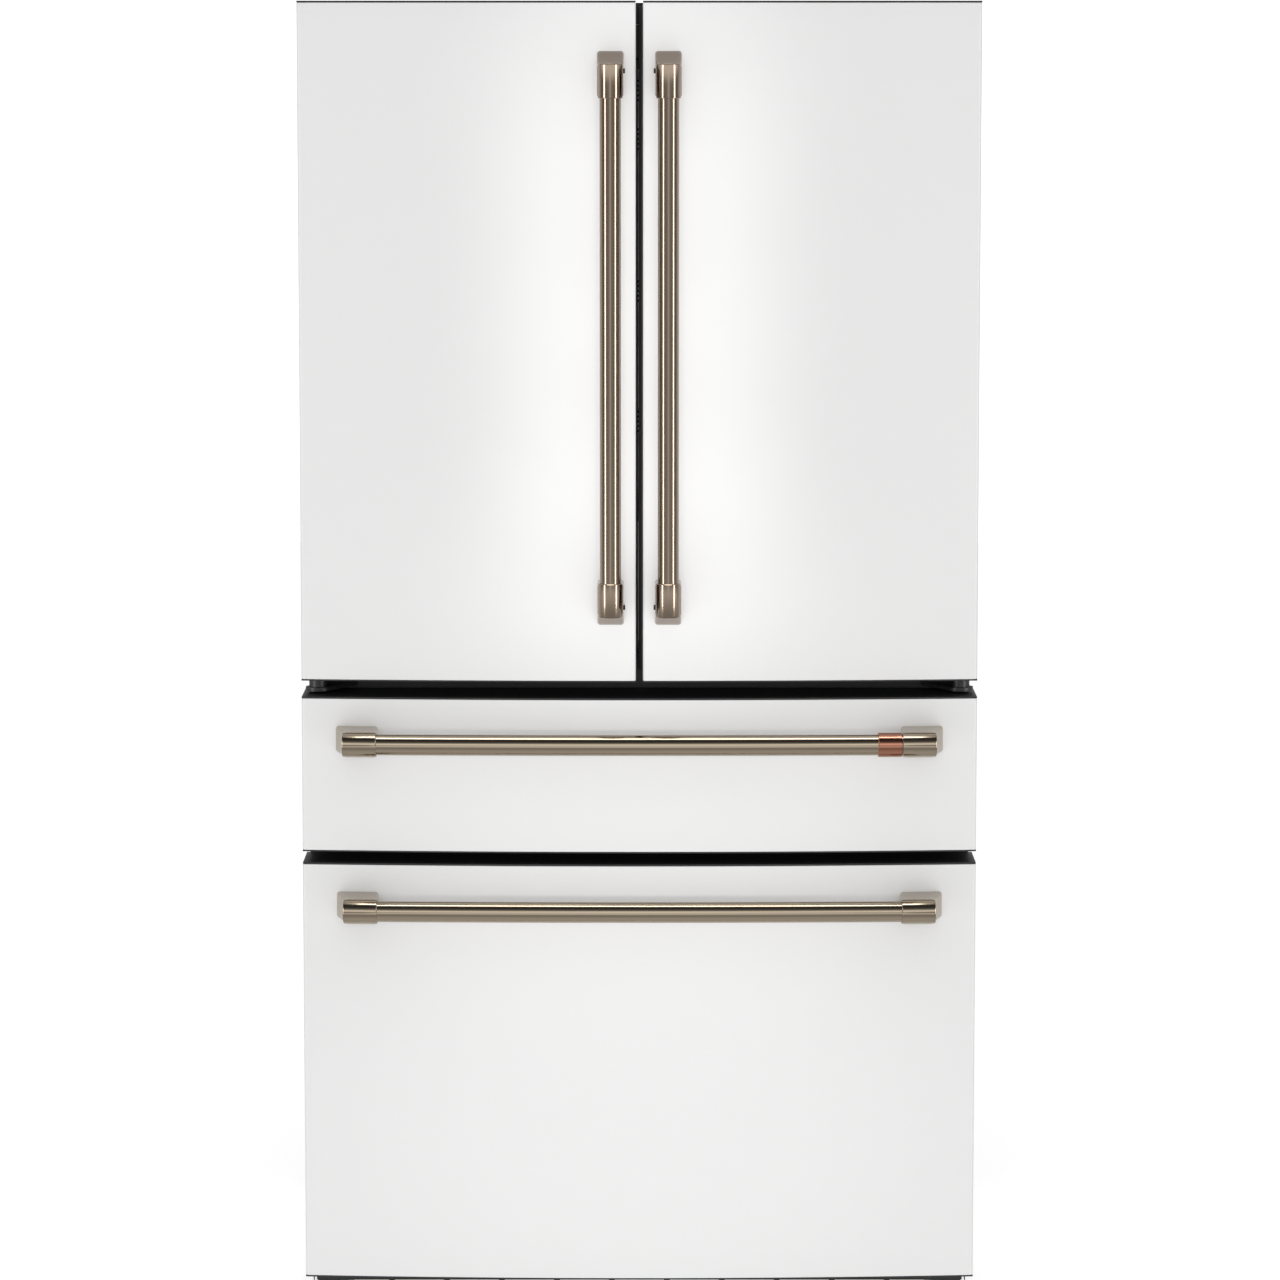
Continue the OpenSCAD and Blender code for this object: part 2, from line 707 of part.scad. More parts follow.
// Cross-sections of a three-part slide on the right-hand wall, centred on its height
module rail_fixed() {
    polygon([[404.8, -20], [404.8, 20], [393, 20], [393, 14.4], [394.6, 14.4], [394.6, 18.4], [403.2, 18.4],
             [403.2, -18.4], [394.6, -18.4], [394.6, -14.4], [393, -14.4], [393, -20]]);
}

module rail_middle() {
    polygon([[402.8, -14], [402.8, 14], [391, 14], [391, 12.4], [401.2, 12.4], [401.2, -12.4], [391, -12.4],
             [391, -14]]);
}

module rail_inner() {
    polygon([[400.8, -12], [400.8, 12], [384, 12], [384, 9], [398, 9], [398, -9], [384, -9], [384, -12]]);
}

module rail_run(z, y) {
    both_sides() translate([0, y[1], z]) rotate([90, 0, 0]) linear_extrude(y[1] - y[0]) children();
}

module slide_rails_fixed() {
    color(steel) {
        rail_run(drawer_rail_z, rail_y) rail_fixed();
        rail_run(freezer_rail_z, [rail_y[0], 276]) rail_fixed();
    }
}

module slides_middle(z, back) {
    color(steel) rail_run(z, [rail_y[0] + 2, back]) rail_middle();
}

module slides_inner(z, back) {
    color(steel) rail_run(z, [y_core + slack, back]) rail_inner();
}

// ---------- drawers ----------

full_x = [-half_w, half_w];

module drawer_tub() {
    color([0.90, 0.93, 0.94]) tub_box([-383, y_core + slack, 672], [383, 250, 812], 3);
}

// Moulded basket with slotted sides
module basket(lo, hi, rows) {
    color([0.92, 0.94, 0.95]) difference() {
        tub_box(lo, hi, 3);
        for (row = [0:rows - 1], i = [-5:5])
            translate([i * 64, hi[1], lo[2] + 40 + row * 34]) span([-22, -5, 0], [22, 2, 14]);
    }
}

// ---------- feet ----------

module leveling_leg() {
    color(black) translate([leg_x, leg_y, 0]) {
        cylinder(r = 22, h = 6);
        translate([0, 0, 6]) cylinder(r = 15, h = 10, $fn = 6);
        cylinder(r = leg_r, h = 57);
    }
}

module rear_rollers() {
    color(charcoal) translate([0, roller_y, roller_r]) rotate([0, 90, 0]) {
        translate([0, 0, -half_case + 3]) cylinder(r = 4, h = case_w - 6);
        for (x = [-half_case + 20, half_case - 40])
            translate([0, 0, x]) cylinder(r = roller_r, h = 20);
    }
}

// ---------- assembly ----------

cabinet_shell();
rear_panel();
insulation_foam();
fresh_food_liner();
drawer_liner();
freezer_liner();
front_frame();
base_frame();
base_grille();
top_covers();
door_hinges();
glass_shelves();
shelf_frames();
crisper_cover();
control_panel();
compressor();
condenser_coil();
evaporator_unit();
slide_rails_fixed();
crisper(-1);  // crisper_left
crisper(1);  // crisper_right
right_hand() leveling_leg();  // leveling_leg_left
leveling_leg();  // leveling_leg_right
rear_rollers();
condenser_fan();

color(matte_white) door_skin();  // left_door_skin
color(liner_white) door_liner(true);  // left_door_liner
color(black) door_edge_trim();  // left_door_edge_trim
color(charcoal) door_gasket();  // left_door_gasket
color(bronze) door_handle_bar();  // left_door_handle_bar
color(bronze) door_handle_posts();  // left_door_handle_posts
color(clear_blue) door_bins();  // left_door_bins
flipper_mullion();

color(matte_white) right_hand() door_skin();  // right_door_skin
color(liner_white) right_hand() door_liner();  // right_door_liner
color(black) right_hand() door_edge_trim();  // right_door_edge_trim
color(charcoal) right_hand() door_gasket();  // right_door_gasket
color(bronze) right_hand() door_handle_bar();  // right_door_handle_bar
color(bronze) right_hand() door_handle_posts();  // right_door_handle_posts
color(clear_blue) right_hand() door_bins();  // right_door_bins

color(matte_white) front_skin(full_x, drawer_z);  // drawer_skin
color(liner_white) front_core(full_x, drawer_z);  // drawer_core
color(black) for (end = [0, 1]) front_cap(full_x, drawer_z, end);  // drawer_edge_trim
color(charcoal) front_gasket([-hinge_x + 4, hinge_x - 4], [drawer_z[0] + 4, drawer_z[1] - 4]);  // drawer_gasket
color(bronze) drawer_handle_bar(drawer_z);
color(bronze) drawer_handle_posts(drawer_z);
color(copper) drawer_handle_band();
drawer_tub();
slides_inner(drawer_rail_z, 278);  // drawer_slides_inner
slides_middle(drawer_rail_z, 295);  // drawer_slides_middle

color(matte_white) front_skin(full_x, freezer_z);  // freezer_skin
color(liner_white) front_core(full_x, freezer_z);  // freezer_core
color(black) for (end = [0, 1]) front_cap(full_x, freezer_z, end);  // freezer_edge_trim
color(charcoal) front_gasket([-hinge_x + 4, hinge_x - 4], [freezer_z[0] + 35, freezer_z[1] - 4]);  // freezer_gasket
color(bronze) drawer_handle_bar(freezer_z);  // freezer_handle_bar
color(bronze) drawer_handle_posts(freezer_z);  // freezer_handle_posts
basket([-383, y_core + slack, 114], [383, 134, 372], 5);  // freezer_lower_basket
slides_inner(freezer_rail_z, 256);  // freezer_slides_inner
slides_middle(freezer_rail_z, 272);  // freezer_slides_middle
basket([-401, y_core + 34, 398], [401, 262, 558], 2);  // freezer_upper_basket
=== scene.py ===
"""French door refrigerator: the looks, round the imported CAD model. Metres, +Z up, the doors face -Y."""

import math

import bmesh
import bpy
from mathutils import Matrix, Vector

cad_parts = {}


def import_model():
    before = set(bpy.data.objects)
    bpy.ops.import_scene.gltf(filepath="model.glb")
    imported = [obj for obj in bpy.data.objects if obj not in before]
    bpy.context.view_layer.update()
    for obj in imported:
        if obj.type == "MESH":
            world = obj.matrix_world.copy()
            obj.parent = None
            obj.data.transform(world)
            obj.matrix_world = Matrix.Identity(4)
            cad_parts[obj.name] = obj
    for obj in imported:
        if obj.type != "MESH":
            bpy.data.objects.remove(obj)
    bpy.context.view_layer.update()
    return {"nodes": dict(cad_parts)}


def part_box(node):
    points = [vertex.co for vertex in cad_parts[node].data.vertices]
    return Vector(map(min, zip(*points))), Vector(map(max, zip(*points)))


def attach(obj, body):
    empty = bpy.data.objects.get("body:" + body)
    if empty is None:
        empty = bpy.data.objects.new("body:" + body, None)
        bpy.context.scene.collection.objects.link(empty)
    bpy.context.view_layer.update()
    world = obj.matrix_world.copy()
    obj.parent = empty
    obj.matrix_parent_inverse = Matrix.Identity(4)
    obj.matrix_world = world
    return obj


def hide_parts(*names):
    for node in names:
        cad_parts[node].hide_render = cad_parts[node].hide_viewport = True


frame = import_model()
MM = 0.001


# ---------- sizes taken from the frame ----------


def edge_y(node):
    """The front surface's depth at a bowed node's outer edge."""
    points = [v.co for v in frame["nodes"][node].data.vertices]
    side = max(p.x for p in points) - 0.5 * MM
    return min(p.y for p in points if p.x > side)


DOOR = {side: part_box(f"{side}_door_skin") for side in ("left", "right")}
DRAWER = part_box("drawer_skin")
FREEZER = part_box("freezer_skin")
HALF_W = FREEZER[1].x
APEX_Y = FREEZER[0].y
BOW = edge_y("freezer_skin") - APEX_Y
BOW_R = (HALF_W**2 + BOW**2) / (2 * BOW)
BOW_Y = APEX_Y + BOW_R
CORE_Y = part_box("drawer_core")[1].y
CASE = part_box("cabinet_shell")
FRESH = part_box("fresh_food_liner")
HINGE_Y = -268.5 * MM
LINER_T = 3 * MM
SHEET_T = 1 * MM


# ---------- shapes ----------


class Shape:
    """Vertices and faces in the row frame, gathered before they become one object."""

    def __init__(self):
        self.verts, self.faces = [], []

    def add(self, verts, faces):
        first = len(self.verts)
        self.verts += [tuple(v) for v in verts]
        self.faces += [[first + i for i in face] for face in faces]
        return self

    def join(self, other, matrix=Matrix.Identity(4)):
        return self.add([matrix @ Vector(v) for v in other.verts], other.faces)

    def loft(self, rings, closed=False, caps=(True, True)):
        """Joins rings of equal length. closed joins the last to the first, otherwise caps close the ends."""
        n, count = len(rings[0]), len(rings)
        faces = []
        for i in range(count if closed else count - 1):
            a, b = i * n, (i + 1) % count * n
            faces += [[a + k, a + (k + 1) % n, b + (k + 1) % n, b + k] for k in range(n)]
        if not closed and caps[0]:
            faces.append(list(range(n))[::-1])
        if not closed and caps[1]:
            faces.append([(count - 1) * n + k for k in range(n)])
        return self.add([p for ring in rings for p in ring], faces)

    def sheet(self, levels):
        """A bent sheet with two skins. Each level is (outer line, inner line), all of one length."""
        n = len(levels[0][0])
        verts, faces = [], []
        for outer, inner in levels:
            verts += list(outer) + list(inner)
        for i in range(len(levels) - 1):
            a, b = 2 * n * i, 2 * n * (i + 1)
            for k in range(n - 1):
                faces.append([a + k, a + k + 1, b + k + 1, b + k])
                faces.append([a + n + k, b + n + k, b + n + k + 1, a + n + k + 1])
            faces.append([a, b, b + n, a + n])
            faces.append([a + n - 1, a + 2 * n - 1, b + 2 * n - 1, b + n - 1])
        for base, flip in ((0, False), (2 * n * (len(levels) - 1), True)):
            for k in range(n - 1):
                quad = [base + k, base + n + k, base + n + k + 1, base + k + 1]
                faces.append(quad[::-1] if flip else quad)
        return self.add(verts, faces)

    def lathe(self, profile, centre=(0, 0, 0), axis="z", segments=48):
        """Turns (radius, height) points about an axis through centre."""
        turn = {"x": Matrix.Rotation(math.pi / 2, 4, "Y"), "y": Matrix.Rotation(-math.pi / 2, 4, "X")}
        place = Matrix.Translation(centre) @ turn.get(axis, Matrix.Identity(4))
        angles = [2 * math.pi * k / segments for k in range(segments)]
        rings = []
        for radius, height in profile:
            circle = [Vector((radius * math.cos(a), radius * math.sin(a), height)) for a in angles]
            rings.append([place @ point for point in circle])
        return self.loft(rings)

    def tube(self, path, radius, segments=16):
        """A round tube along a path of points."""
        path = [Vector(p) for p in path]
        side = Vector((1, 0, 0))
        rings = []
        for i, point in enumerate(path):
            along = (path[min(i + 1, len(path) - 1)] - path[max(i - 1, 0)]).normalized()
            side = side - along * side.dot(along)
            if side.length < 1e-3:
                side = along.orthogonal()
            side.normalize()
            other = along.cross(side)
            angles = [2 * math.pi * k / segments for k in range(segments)]
            rings.append([point + radius * (math.cos(a) * side + math.sin(a) * other) for a in angles])
        return self.loft(rings)

    def block(self, low, high, radius=1 * MM, steps=3):
        """A box with rounded edges."""
        low, high = Vector(low), Vector(high)
        radius = min(radius, 0.49 * min(high - low))
        return self.loft(pillow(low, high, radius, steps))

    def prism(self, outline, axis, start, end, soften=0.0):
        """A flat outline of (u, v) points, pulled along an axis. soften insets both ends by that much."""
        cu = sum(p[0] for p in outline) / len(outline)
        cv = sum(p[1] for p in outline) / len(outline)
        size = max(max(abs(p[0] - cu), abs(p[1] - cv)) for p in outline)
        shrink = 1 - soften / size
        small = [(cu + (u - cu) * shrink, cv + (v - cv) * shrink) for u, v in outline]
        sign = soften if end > start else -soften
        ends = [(small, start), (outline, start + sign), (outline, end - sign), (small, end)]
        if not soften:
            ends = [(outline, start), (outline, end)]
        return self.loft([[at(axis, u, v, w) for u, v in line] for line, w in ends])

    def frame(self, x, z, radius, profile):
        """A closed frame in XZ with rounded corners. profile is its section, in (inset, y) points."""
        return self.loft([ring("y", x, z, y, radius, inset) for inset, y in profile], closed=True)

    def plate(self, axis, u_cuts, v_cuts, is_open, low, high):
        """A plate from low to high along axis: the cells between the cuts, but for those is_open names."""
        nu, nv = len(u_cuts) - 1, len(v_cuts) - 1
        cells = [(i, j) for i in range(nu) for j in range(nv)]
        solid = {(i, j) for i, j in cells if not is_open(u_cuts[i:i + 2], v_cuts[j:j + 2])}
        first = len(self.verts)
        for w in (low, high):
            self.verts += [at(axis, u, v, w) for u in u_cuts for v in v_cuts]
        layer = len(u_cuts) * len(v_cuts)

        def index(i, j, side):
            return first + side * layer + i * len(v_cuts) + j

        for i, j in solid:
            corners = [(i, j), (i + 1, j), (i + 1, j + 1), (i, j + 1)]
            self.faces.append([index(a, b, 0) for a, b in corners])
            self.faces.append([index(a, b, 1) for a, b in corners[::-1]])
            for k, step in enumerate(((0, -1), (1, 0), (0, 1), (-1, 0))):
                if (i + step[0], j + step[1]) not in solid:
                    a, b = corners[k], corners[(k + 1) % 4]
                    self.faces.append([index(*a, 0), index(*b, 0), index(*b, 1), index(*a, 1)])
        return self

    def mirrored(self):
        copy = Shape()
        return copy.add([(-x, y, z) for x, y, z in self.verts], [f[::-1] for f in self.faces])


def at(axis, u, v, w):
    """A point with w along axis, and u and v along the other two in X, Y, Z order."""
    return {"x": (w, u, v), "y": (u, w, v), "z": (u, v, w)}[axis]


def rounded(u, v, radius, steps=5):
    """A rounded rectangle's outline from the ranges u and v."""
    radius = max(min(radius, 0.49 * (u[1] - u[0]), 0.49 * (v[1] - v[0])), 1e-5)
    corners = [(u[1], v[1], 1, 1, 0), (u[0], v[1], -1, 1, 90),
               (u[0], v[0], -1, -1, 180), (u[1], v[0], 1, -1, 270)]
    points = []
    for cu, cv, su, sv, start in corners:
        for k in range(steps + 1):
            a = math.radians(start + 90 * k / steps)
            points.append((cu + radius * (math.cos(a) - su), cv + radius * (math.sin(a) - sv)))
    return points


def ring(axis, u, v, w, radius, inset=0.0):
    """A rounded rectangle as a ring of points at w along axis, drawn in by inset."""
    line = rounded((u[0] + inset, u[1] - inset), (v[0] + inset, v[1] - inset), radius - inset)
    return [at(axis, a, b, w) for a, b in line]


def pillow(low, high, radius, steps=3):
    """Rings of a box with rounded edges, from bottom to top."""
    bends = [math.pi / 2 * k / steps for k in range(steps + 1)]
    levels = [(low.z + radius * (1 - math.sin(a)), radius * (1 - math.cos(a))) for a in bends[::-1]]
    levels += [(high.z - radius * (1 - math.sin(a)), radius * (1 - math.cos(a))) for a in bends]
    return [ring("z", (low.x, high.x), (low.y, high.y), z, radius, 0.98 * inset) for z, inset in levels]


def front_y(x, inset=0.0):
    return BOW_Y - math.sqrt((BOW_R - inset) ** 2 - x * x)


def bowed_line(x, back, inset, radius, steps=5, spans=40):
    """The plan line of a bowed front from its left return, round both corners, to its right return."""
    left = corner_arc(x[0], inset, radius, 1, steps)
    right = corner_arc(x[1], inset, radius, -1, steps)
    start, stop = left[-1][0], right[-1][0]
    middle = [start + (stop - start) * k / spans for k in range(1, spans)]
    points = [(x[0] + inset, back[0])] + left
    points += [(m, front_y(m, inset)) for m in middle]
    return points + right[::-1] + [(x[1] - inset, back[1])]


def corner_arc(x, inset, radius, sign, steps):
    """The corner between a return at x and the bowed front, from the return to the front."""
    r = max(radius - inset, 0.6 * MM)
    cx = x + sign * (inset + r)
    cy = BOW_Y - math.sqrt((BOW_R - inset - r) ** 2 - cx * cx)
    turn = math.pi / 2 + sign * math.asin(cx / (BOW_R - inset - r))
    points = []
    for k in range(steps + 1):
        a = turn * k / steps
        points.append((cx - sign * r * math.cos(a), cy - r * math.sin(a)))
    return points


# ---------- objects ----------


def make(name, shape, body, mat, replaces=(), sharp=40):
    """One finished piece: cleaned mesh, smooth faces with sharp creases, material and body."""
    mesh = bpy.data.meshes.new(name)
    mesh.from_pydata(shape.verts, [], shape.faces)
    bm = bmesh.new()
    bm.from_mesh(mesh)
    bmesh.ops.delete(bm, geom=[v for v in bm.verts if not v.link_faces], context="VERTS")
    bmesh.ops.remove_doubles(bm, verts=bm.verts, dist=1e-6)
    bmesh.ops.dissolve_degenerate(bm, dist=1e-7, edges=bm.edges)
    bmesh.ops.recalc_face_normals(bm, faces=bm.faces)
    bm.to_mesh(mesh)
    bm.free()
    mesh.polygons.foreach_set("use_smooth", [True] * len(mesh.polygons))
    mesh.set_sharp_from_angle(angle=math.radians(sharp))
    mesh.materials.append(mat)
    obj = bpy.data.objects.new(name, mesh)
    bpy.context.scene.collection.objects.link(obj)
    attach(obj, body)
    if replaces:
        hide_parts(*replaces)
    return obj


def keep(node, mat, bevel=0.0):
    """A CAD node that stays: better material, and edges broken by bevel."""
    obj = frame["nodes"][node]
    for material_slot in obj.material_slots:
        material_slot.material = mat
    if bevel:
        obj.modifiers.new("weld", "WELD").merge_threshold = 0.01 * MM
        edge = obj.modifiers.new("bevel", "BEVEL")
        edge.width = bevel
        edge.segments = 2
        edge.limit_method = "ANGLE"
        edge.angle_limit = math.radians(35)
        obj.modifiers.new("normals", "WEIGHTED_NORMAL")


# ---------- materials ----------


def surface(name, color, rough, metal=0.0, grain=300.0, stretch=(1, 1, 1), tint=0.03, spread=0.05,
            bump=0.02, kind="noise", **sockets):
    """A material whose colour, roughness and relief all vary with one fine grain."""
    mat = bpy.data.materials.new(name)
    mat.use_nodes = True
    tree = mat.node_tree
    shader = tree.nodes["Principled BSDF"]
    place = tree.nodes.new("ShaderNodeTexCoord")
    mapping = tree.nodes.new("ShaderNodeMapping")
    mapping.inputs["Scale"].default_value = stretch
    tree.links.new(place.outputs["Object"], mapping.inputs["Vector"])
    if kind == "spangle":
        texture = tree.nodes.new("ShaderNodeTexVoronoi")
        value = texture.outputs["Color"]
    else:
        texture = tree.nodes.new("ShaderNodeTexNoise")
        texture.inputs["Detail"].default_value = 4.0
        value = texture.outputs["Fac"]
    texture.inputs["Scale"].default_value = grain
    tree.links.new(mapping.outputs["Vector"], texture.inputs["Vector"])

    shade = tree.nodes.new("ShaderNodeMix")
    shade.data_type = "RGBA"
    shade.inputs["A"].default_value = [c * (1 - tint) for c in color[:3]] + [1]
    shade.inputs["B"].default_value = [min(1, c * (1 + tint)) for c in color[:3]] + [1]
    tree.links.new(value, shade.inputs["Factor"])
    tree.links.new(shade.outputs["Result"], shader.inputs["Base Color"])

    gloss = tree.nodes.new("ShaderNodeMapRange")
    gloss.inputs["From Min"].default_value = 0.3
    gloss.inputs["From Max"].default_value = 0.7
    gloss.inputs["To Min"].default_value = max(0.02, rough - spread)
    gloss.inputs["To Max"].default_value = min(1.0, rough + spread)
    tree.links.new(value, gloss.inputs["Value"])
    tree.links.new(gloss.outputs["Result"], shader.inputs["Roughness"])

    relief = tree.nodes.new("ShaderNodeBump")
    relief.inputs["Strength"].default_value = bump
    relief.inputs["Distance"].default_value = 1 * MM
    tree.links.new(value, relief.inputs["Height"])
    tree.links.new(relief.outputs["Normal"], shader.inputs["Normal"])

    shader.inputs["Metallic"].default_value = metal
    for socket, setting in sockets.items():
        shader.inputs[socket.replace("_", " ")].default_value = setting
    return mat


WHITE = surface("matt_white_paint", (0.80, 0.80, 0.798), 0.38, grain=900, tint=0.01, spread=0.03, bump=0.02)
SIDE_WHITE = surface("textured_white_paint", (0.78, 0.78, 0.775), 0.5, grain=420, tint=0.015,
                     spread=0.06, bump=0.12)
# One bronze in two copies: the upright bars and posts get a darker base colour (painted shade) and the level
# bars and posts a lighter one (painted light), standing in for how differently each is lit. Only the grain's
# direction is the metal's own difference.
BRONZE_UP_PAINTED_SHADE = surface("brushed_bronze_upright_painted_shade", (0.25, 0.197, 0.152), 0.13, 1.0, grain=2200,
                    stretch=(1, 1, 0.015),
                    tint=0.06, spread=0.02, bump=0.003)
BRONZE_ACROSS_PAINTED_LIGHT = surface("brushed_bronze_level_painted_light", (0.36, 0.30, 0.226), 0.13, 1.0, grain=2200,
                        stretch=(0.015, 1, 1),
                        tint=0.06, spread=0.02, bump=0.003)
COPPER = surface("brushed_copper", (0.38, 0.175, 0.118), 0.13, 1.0, grain=2200,
                 stretch=(0.02, 1, 1), tint=0.08,
                 spread=0.02, bump=0.003)
DARK_SCREW = surface("blackened_screw", (0.05, 0.042, 0.034), 0.4, 1.0, grain=900, tint=0.1,
                     spread=0.05, bump=0.02)
BLACK = surface("black_plastic", (0.018, 0.018, 0.019), 0.45, grain=1200, tint=0.2, spread=0.08, bump=0.06)
BLACK_PAINT = surface("black_paint", (0.02, 0.02, 0.021), 0.4, grain=500, tint=0.15, spread=0.08, bump=0.04)
RUBBER = surface("seal_rubber", (0.035, 0.035, 0.036), 0.62, grain=700, tint=0.15, spread=0.06, bump=0.05)
LINER = surface("liner_plastic", (0.84, 0.845, 0.845), 0.3, grain=260, tint=0.01, spread=0.05, bump=0.02)
FOAM = surface("rigid_foam", (0.74, 0.70, 0.60), 0.85, grain=350, tint=0.12, spread=0.08, bump=0.5)
ZINC = surface("zinc_plate", (0.55, 0.56, 0.57), 0.33, 1.0, grain=700, stretch=(1, 0.05, 1),
               tint=0.08, spread=0.06,
               bump=0.03)
GALVANISED = surface("galvanised_sheet", (0.50, 0.51, 0.52), 0.38, 0.9, grain=170,
                     kind="spangle", tint=0.08,
                     spread=0.06, bump=0.02)
STEEL = surface("hinge_steel", (0.42, 0.425, 0.43), 0.36, 1.0, grain=500, tint=0.1, spread=0.06, bump=0.04)
ALUMINIUM = surface("coil_aluminium", (0.66, 0.67, 0.68), 0.35, 1.0, grain=400, tint=0.06,
                    spread=0.06, bump=0.03)
GREY_STEEL = surface("grey_painted_steel", (0.10, 0.102, 0.106), 0.42, grain=500, tint=0.08,
                     spread=0.07, bump=0.05)
GREY_TRIM = surface("grey_trim", (0.60, 0.61, 0.62), 0.32, grain=500, tint=0.03, spread=0.05, bump=0.02)
SATIN_STEEL = surface("satin_steel_trim", (0.62, 0.62, 0.62), 0.28, 1.0, grain=900,
                      stretch=(0.02, 1, 1), tint=0.06,
                      spread=0.05, bump=0.02)
CLEAR = surface("clear_plastic", (0.93, 0.96, 0.97), 0.12, grain=200, tint=0.01, spread=0.04, bump=0.01,
                Transmission_Weight=0.85, IOR=1.49)
GLASS = surface("shelf_glass", (0.90, 0.97, 0.95), 0.04, grain=60, tint=0.01, spread=0.02, bump=0.004,
                Transmission_Weight=0.95, IOR=1.5)
LAMP = surface("lamp_lens", (0.95, 0.96, 1.0), 0.35, grain=300, tint=0.01, spread=0.05, bump=0.02,
               Emission_Color=(1, 1, 1, 1), Emission_Strength=0.6)
GLOSS_BLACK = surface("gloss_black_panel", (0.012, 0.012, 0.014), 0.12, grain=300, tint=0.1,
                      spread=0.04, bump=0.01)


# ---------- fronts ----------

HEM = 1.0 * MM
HEM_BENDS = (0, 22, 45, 68, 90)
CORNER = 4.0 * MM


def hem_levels(low, high):
    """Heights and insets that roll a sheet in at both ends."""
    bends = [math.radians(a) for a in HEM_BENDS]
    levels = [(low + HEM * (1 - math.cos(a)), HEM * (1 - math.sin(a))) for a in bends]
    return levels + [(high - (z - low), inset) for z, inset in levels[::-1]]


def front_sheet(x, z, backs):
    """Painted sheet of a front. backs gives, for a height, where its left and right returns end."""
    levels = []
    for height, inset in hem_levels(z[0], z[1] - 0.5 * MM):
        outer = bowed_line(x, backs(height), inset, CORNER)
        inner = bowed_line(x, backs(height), inset + SHEET_T, CORNER)
        levels.append(([(a, b, height) for a, b in outer], [(a, b, height) for a, b in inner]))
    return levels


def door_sheet():
    """The left door's painted sheet. Its outer return stops short beside the hinge pocket."""
    low, high = DOOR["left"]
    pocket_z = CASE[1].z
    free = APEX_Y + 9 * MM
    back = CORE_Y - 2 * MM
    pocket = HINGE_Y - 34 * MM
    levels = front_sheet((low.x, high.x), (low.z, high.z),
                         lambda z: (back if z < pocket_z else pocket, free))
    shape = Shape()
    for height, side in ((pocket_z, back), (pocket_z, pocket)):
        outer = bowed_line((low.x, high.x), (side, free), 0, CORNER)
        inner = bowed_line((low.x, high.x), (side, free), SHEET_T, CORNER)
        step = ([(a, b, height) for a, b in outer], [(a, b, height) for a, b in inner])
        levels.insert(len(HEM_BENDS) if side == back else len(HEM_BENDS) + 1, step)
    return shape.sheet(levels)


def fronts():
    for side in ("left", "right"):
        shape = door_sheet() if side == "left" else door_sheet().mirrored()
        make(f"{side}_door_front", shape, f"{side}_door", WHITE, [f"{side}_door_skin"])
    for name, box, body in (("drawer", DRAWER, "middle_drawer"), ("freezer", FREEZER, "freezer_drawer")):
        back = CORE_Y - 2 * MM
        levels = front_sheet((box[0].x, box[1].x), (box[0].z, box[1].z), lambda z: (back, back))
        make(f"{name}_front", Shape().sheet(levels), body, WHITE, [f"{name}_skin"])
    for node in ("left_door_edge_trim", "right_door_edge_trim", "drawer_edge_trim", "freezer_edge_trim"):
        keep(node, BLACK, 0.5 * MM)


def centre_seal():
    """Soft strip on the right door's inner edge: a lip in front, and a fin that closes the gap behind."""
    low, high = DOOR["right"]
    z = (low.z + 3 * MM, high.z - 6 * MM)
    root = low.x + 0.3 * MM
    front = APEX_Y + 30 * MM
    shape = Shape().block((root - 0.9 * MM, front, z[0]), (root, CORE_Y - 4 * MM, z[1]), 0.2 * MM)
    shape.block((low.x - 3.2 * MM, front, z[0]), (root, APEX_Y + 36 * MM, z[1]), 1.3 * MM)
    shape.block((-1 * MM, CORE_Y - 13 * MM, z[0]), (root, CORE_Y - 5 * MM, z[1]), 1 * MM)
    make("centre_gap_seal", shape, "right_door", RUBBER)


# ---------- handles ----------

COLLAR_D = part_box("drawer_handle_band")[1].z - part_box("drawer_handle_band")[0].z
BAR_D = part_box("left_door_handle_bar")[1].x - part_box("left_door_handle_bar")[0].x
POST_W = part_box("drawer_handle_posts")[1].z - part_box("drawer_handle_posts")[0].z
COLLAR_L = 45.5 * MM
BAR_Y = APEX_Y - 48 * MM
SCREW_AT = (10 * MM, 28 * MM)  # along the bar from its collar's end, and back from its centre line
DRAWER_BAR_R = 8.8  # the level bars' bow, in metres


def collar(tail, foot, skew=0.0):
    """Collar and post at a bar's end, whose centre line runs along +X from 0. The front is at y = foot.

    skew moves the post's foot along X.
    """
    r, length = COLLAR_D / 2 - 0.1 * MM, COLLAR_L
    lip, edge, hole = 1.4 * MM, 0.8 * MM, BAR_D / 2 + 0.3 * MM
    profile = [(0.0, 0.6 * MM), (r - 5 * MM, 0.2 * MM)]
    for bend in (math.radians(a) for a in (0, 30, 60, 90)):
        profile.append((r - lip * (1 - math.sin(bend)), lip * (1 - math.cos(bend))))
    profile += [(r, length - edge), (r - edge, length), (hole, length)]
    profile += [(hole, length - 1.5 * MM), (0.0, length - 1.5 * MM)]
    shape = Shape().lathe(profile, axis="x", segments=72)
    rings = []
    steps = 8
    for k in range(steps + 1):
        share = k / steps
        depth = (foot + 3 * MM) * (1 - share)
        slope = min(1.0, max(0.0, (foot - depth) / (foot - 7 * MM)))
        start = -tail + slope * (tail + 1.0 * MM)
        shift = skew * depth / foot
        half = POST_W / 2 + 0.4 * MM - share * 0.9 * MM
        rings.append(ring("y", (start + shift, length - 0.4 * MM + shift), (-half, half), depth, 4.2 * MM))
    return shape.loft(rings)


def set_screw():
    """Socket-head grub screw, along +Z from the post's side."""
    shape = Shape()
    profile = [(0.0, -2 * MM), (3.4 * MM, -2 * MM), (3.4 * MM, 1.5 * MM), (2.9 * MM, 2 * MM)]
    profile += [(1.7 * MM, 2 * MM), (1.6 * MM, 0.6 * MM), (0.0, 0.6 * MM)]
    return shape.lathe(profile, segments=24)


